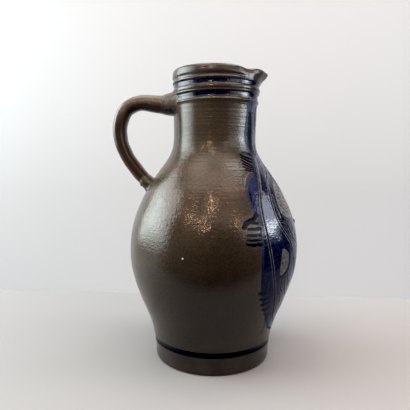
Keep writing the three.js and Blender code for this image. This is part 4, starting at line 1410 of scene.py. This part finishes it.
light("overhead", (0.0, -0.58, 1.40), (0.0, -0.30, 0.1), 1.45, 0.46, 8.2, (1.0, 0.84, 0.72))
light("overhead_wide", (0.0, -0.58, 1.40), (0.0, -0.30, 0.1), 2.10, 0.80, 5.8, (1.0, 0.84, 0.72))
light("overhead_front", (0.0, -1.28, 1.07), (0.0, -0.05, 0.15), 1.80, 0.34, 2.1, (1.0, 0.83, 0.71))
light("overhead_front_wide", (0.0, -1.28, 1.03), (0.0, -0.05, 0.15), 2.70, 0.76, 3.1, (1.0, 0.84, 0.73))
light("overhead_back", (-0.45, 0.10, 1.50), (-0.05, 0.0, 0.2), 1.00, 0.60, 5.8, (0.96, 1.0, 0.95))
light("overhead_strap", (-0.10, 0.12, 1.20), (-0.08, 0.0, 0.26), 0.50, 0.35, 2.0, (1.0, 0.90, 0.80))
light("overhead_right", (0.55, 0.06, 1.50), (0.1, 0.0, 0.1), 0.70, 0.60, 10.0, (1.0, 0.95, 0.93))
light("left_window", (-1.118, 0.045, 0.60), (0, 0, 0.25), 1.24, 1.12, 29.3, (0.89, 0.985, 0.985))
light("left_window_core", (-1.10, 0.02, 0.53), (0, 0, 0.25), 0.56, 0.46, 4.6, (0.87, 1.0, 1.03))
light("right_window", (1.12, -0.08, 0.64), (0, 0, 0.25), 0.50, 0.50, 4.9, (0.90, 0.98, 1.02))
light("right_window_edge", (1.016, -0.495, 0.385), (0, 0, 0.25), 0.26, 0.17, 0.60, (0.90, 0.98, 1.02))
light("right_window_low", (1.115, -0.175, 0.375), (0, 0, 0.25), 0.42, 0.15, 3.7, (0.90, 0.98, 1.02))
light("right_soft", (0.92, -0.72, 0.56), (0, 0, 0.25), 0.60, 0.42, 2.4, (1.0, 0.98, 0.95))
for k, (az, up, watts) in enumerate(((-6, 45, 2.6), (-16, 28, 2.8), (33, 28, 1.0), (-38, 33, 1.6))):
    a, e = math.radians(az), math.radians(up)
    where = (1.5 * math.sin(a) * math.cos(e), -0.08 - 1.5 * math.cos(a) * math.cos(e), 0.155 + 1.5 * math.sin(e))
    light("warm_lamp_%d" % k, where, (0, 0, 0.155), 0.07, 0.07, watts, (1.0, 0.66, 0.40))

world = bpy.data.worlds.new("room")
bpy.context.scene.world = world
world.use_nodes = True
world.node_tree.nodes["Background"].inputs[0].default_value = (0.95, 0.97, 1.0, 1)
world.node_tree.nodes["Background"].inputs[1].default_value = 0.05

cam_data = bpy.data.cameras.new("camera")
cam_data.sensor_width = 36.0
cam_data.lens = 36.88
cam_data.clip_start, cam_data.clip_end = 0.01, 20
cam = bpy.data.objects.new("camera", cam_data)
cam.matrix_world = (
    Matrix.Translation((-0.00908, -0.4364, 0.1965))
    @ Matrix.Rotation(math.radians(90 - 5.30), 4, "X")
    @ Matrix.Rotation(math.radians(0.46), 4, "Z")
)
bpy.context.scene.collection.objects.link(cam)
bpy.context.scene.camera = cam

bpy.context.scene.view_settings.view_transform = "Standard"
bpy.context.scene.view_settings.look = "None"
bpy.context.scene.view_settings.gamma = 0.88
bpy.context.scene.view_settings.use_curve_mapping = True
bpy.context.scene.view_settings.curve_mapping.black_level = (0.0095, 0.0085, 0.0065)
bpy.context.scene.view_settings.curve_mapping.update()

bpy.context.view_layer.update()
